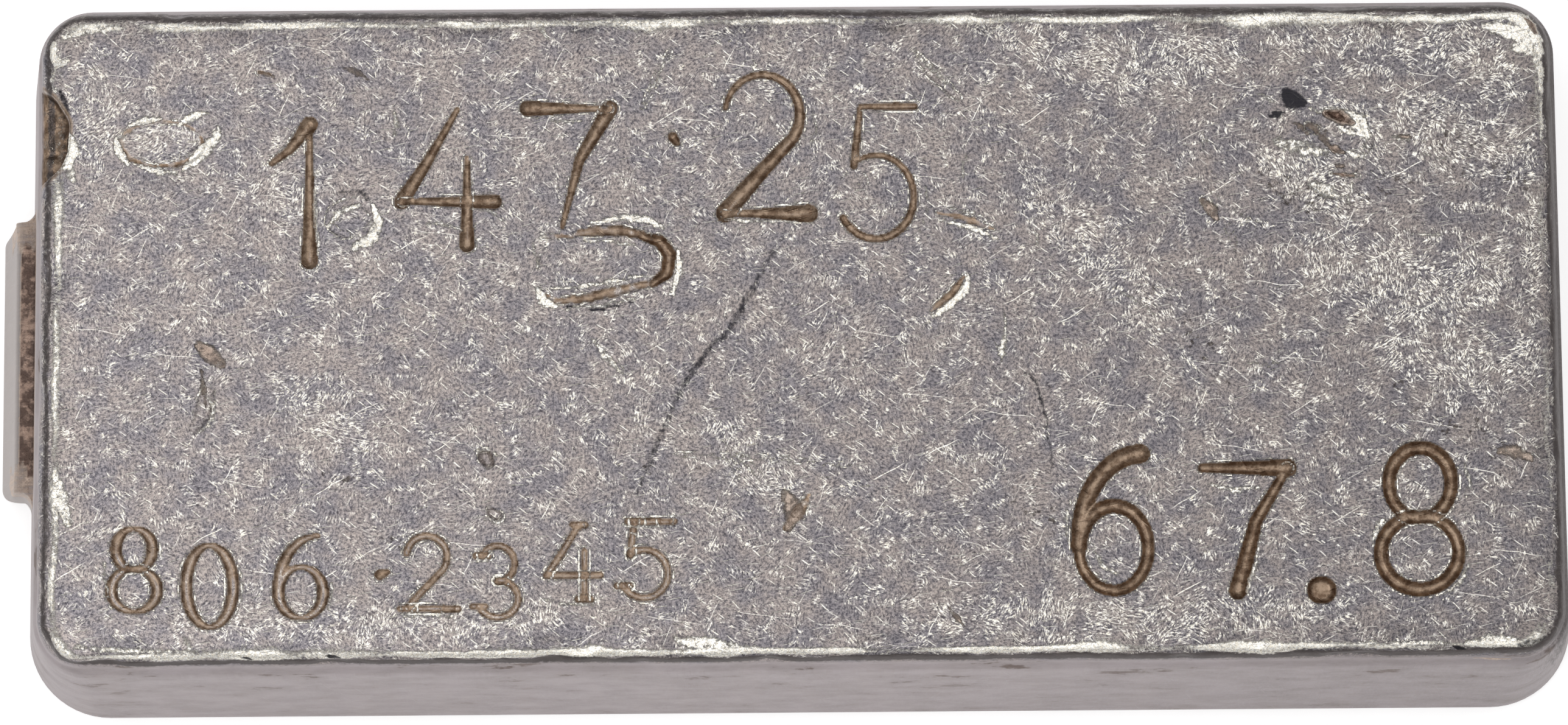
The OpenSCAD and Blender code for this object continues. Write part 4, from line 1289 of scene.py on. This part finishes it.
    lumps = graph.noise(solid, 1900.0, 5.0, 0.66)
    brown = graph.attribute("rust")
    rust = graph.math("MULTIPLY_ADD", lumps, 1.2, brown)
    rust = graph.math("MULTIPLY_ADD", crumbs, 1.2, rust)
    rust = graph.ramp(rust, 1.6, 2.2)
    rust_tone = graph.mix(graph.ramp(lumps, 0.44, 0.64), (0.12, 0.075, 0.056), (0.46, 0.33, 0.26))
    rust_tone = graph.mix(graph.ramp(brown, 0.85, 1.15), (0.56, 0.45, 0.375), rust_tone)
    colour = graph.mix(graph.math("MULTIPLY", rust, 0.88), colour, rust_tone)

    roughness = graph.ramp(fine, 0.40, 0.60, 0.32, 0.50, soft=False)
    roughness = graph.math("SUBTRACT", roughness, graph.math("MULTIPLY", bright, 0.08))
    roughness = graph.math("ADD", roughness, graph.math("MULTIPLY", wall, 0.2))

    pocks = graph.noise(skin, 2.6, 5.0, 0.72)
    height = graph.math("ADD", graph.math("MULTIPLY", pocks, 0.045),
                        graph.math("MULTIPLY", sunk_flecks, -0.02))
    height = graph.math("MULTIPLY_ADD", bare_and_highlight, 0.025, height)
    height = graph.math("MULTIPLY", height, graph.ramp(wall, 0.0, 1.0, 1.0, 0.35))
    height = graph.math("MULTIPLY_ADD", graph.math("MULTIPLY", lumps, rust), 0.16, height)
    bump = graph.node("ShaderNodeBump", Strength=1.0, Distance=MM, Height=height)

    shader = graph.node("ShaderNodeBsdfPrincipled", Metallic=1.0)
    graph.tree.links.new(colour, shader.inputs["Base Color"])
    graph.tree.links.new(roughness, shader.inputs["Roughness"])
    graph.tree.links.new(bump.outputs[0], shader.inputs["Normal"])
    out = graph.node("ShaderNodeOutputMaterial")
    graph.tree.links.new(shader.outputs[0], out.inputs["Surface"])
    return material


# Surroundings


def make_floor():
    mesh = bpy.data.meshes.new("floor")
    half = 0.9
    mesh.from_pydata([(-half, -half, 0), (half, -half, 0), (half, half, 0), (-half, half, 0)],
                     [], [(0, 1, 2, 3)])
    floor = bpy.data.objects.new("floor", mesh)
    bpy.context.scene.collection.objects.link(floor)
    material = bpy.data.materials.new("pale_floor")
    graph = Graph(material)
    diffuse = graph.node("ShaderNodeBsdfDiffuse", Color=(0.93, 0.93, 0.93, 1.0))
    path = graph.node("ShaderNodeLightPath")
    seen = graph.math("MAXIMUM", path.outputs["Is Camera Ray"], path.outputs["Is Glossy Ray"])
    seen = graph.math("MAXIMUM", seen, path.outputs["Is Transmission Ray"])
    glow = graph.node("ShaderNodeEmission", Strength=graph.math("MULTIPLY", seen, 0.40))
    shader = graph.node("ShaderNodeAddShader", _0=diffuse.outputs[0], _1=glow.outputs[0])
    # from below the floor is clear, so that the poured face shows
    below = graph.node("ShaderNodeNewGeometry").outputs["Backfacing"]
    clear = graph.node("ShaderNodeBsdfTransparent")
    both = graph.node("ShaderNodeMixShader", Fac=below, _1=shader.outputs[0], _2=clear.outputs[0])
    out = graph.node("ShaderNodeOutputMaterial")
    graph.tree.links.new(both.outputs[0], out.inputs["Surface"])
    mesh.materials.append(material)


def make_world():
    """A studio tent: grey overhead, bright at mid height, dark at the horizon."""
    world = bpy.data.worlds.new("studio")
    bpy.context.scene.world = world
    graph = Graph(world)
    direction = graph.node("ShaderNodeTexCoord").outputs["Generated"]
    rise = graph.node("ShaderNodeSeparateXYZ", Vector=direction).outputs["Z"]
    bands = graph.node("ShaderNodeValToRGB", Fac=rise)
    ramp = bands.color_ramp
    stops = ((0.0, 0.22), (0.40, 0.40), (0.68, 0.58), (0.79, 1.10), (0.88, 1.15), (0.95, 0.76),
             (1.0, 0.50))
    while len(ramp.elements) < len(stops):
        ramp.elements.new(0.5)
    for element, (place, level) in zip(ramp.elements, stops):
        element.position = place
        element.color = (level, level, level, 1.0)
    background = graph.node("ShaderNodeBackground", Strength=1.0)
    graph.tree.links.new(bands.outputs["Color"], background.inputs["Color"])
    out = graph.node("ShaderNodeOutputWorld")
    graph.tree.links.new(background.outputs[0], out.inputs["Surface"])


def make_lamp(name, place, size, energy):
    """A square softbox that faces the bar, placed in metres."""
    data = bpy.data.lights.new(name, "AREA")
    data.shape = "SQUARE"
    data.size = size
    data.energy = energy
    lamp = bpy.data.objects.new(name, data)
    lamp.location = place
    lamp.rotation_euler = (-Vector(place)).to_track_quat("-Z", "Y").to_euler()
    bpy.context.scene.collection.objects.link(lamp)


bpy.context.scene.view_settings.view_transform = "Standard"
make_camera()
make_floor()
make_world()
make_lamp("softbox_front", (-0.36, -0.24, 0.88), 0.35, 1.7)
make_lamp("softbox_back", (0.25, 0.35, 0.90), 0.35, 0.8)

bar = make_bar()
bar.data.materials.append(silver_material())
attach(bar, "root")
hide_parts("silver_bar")
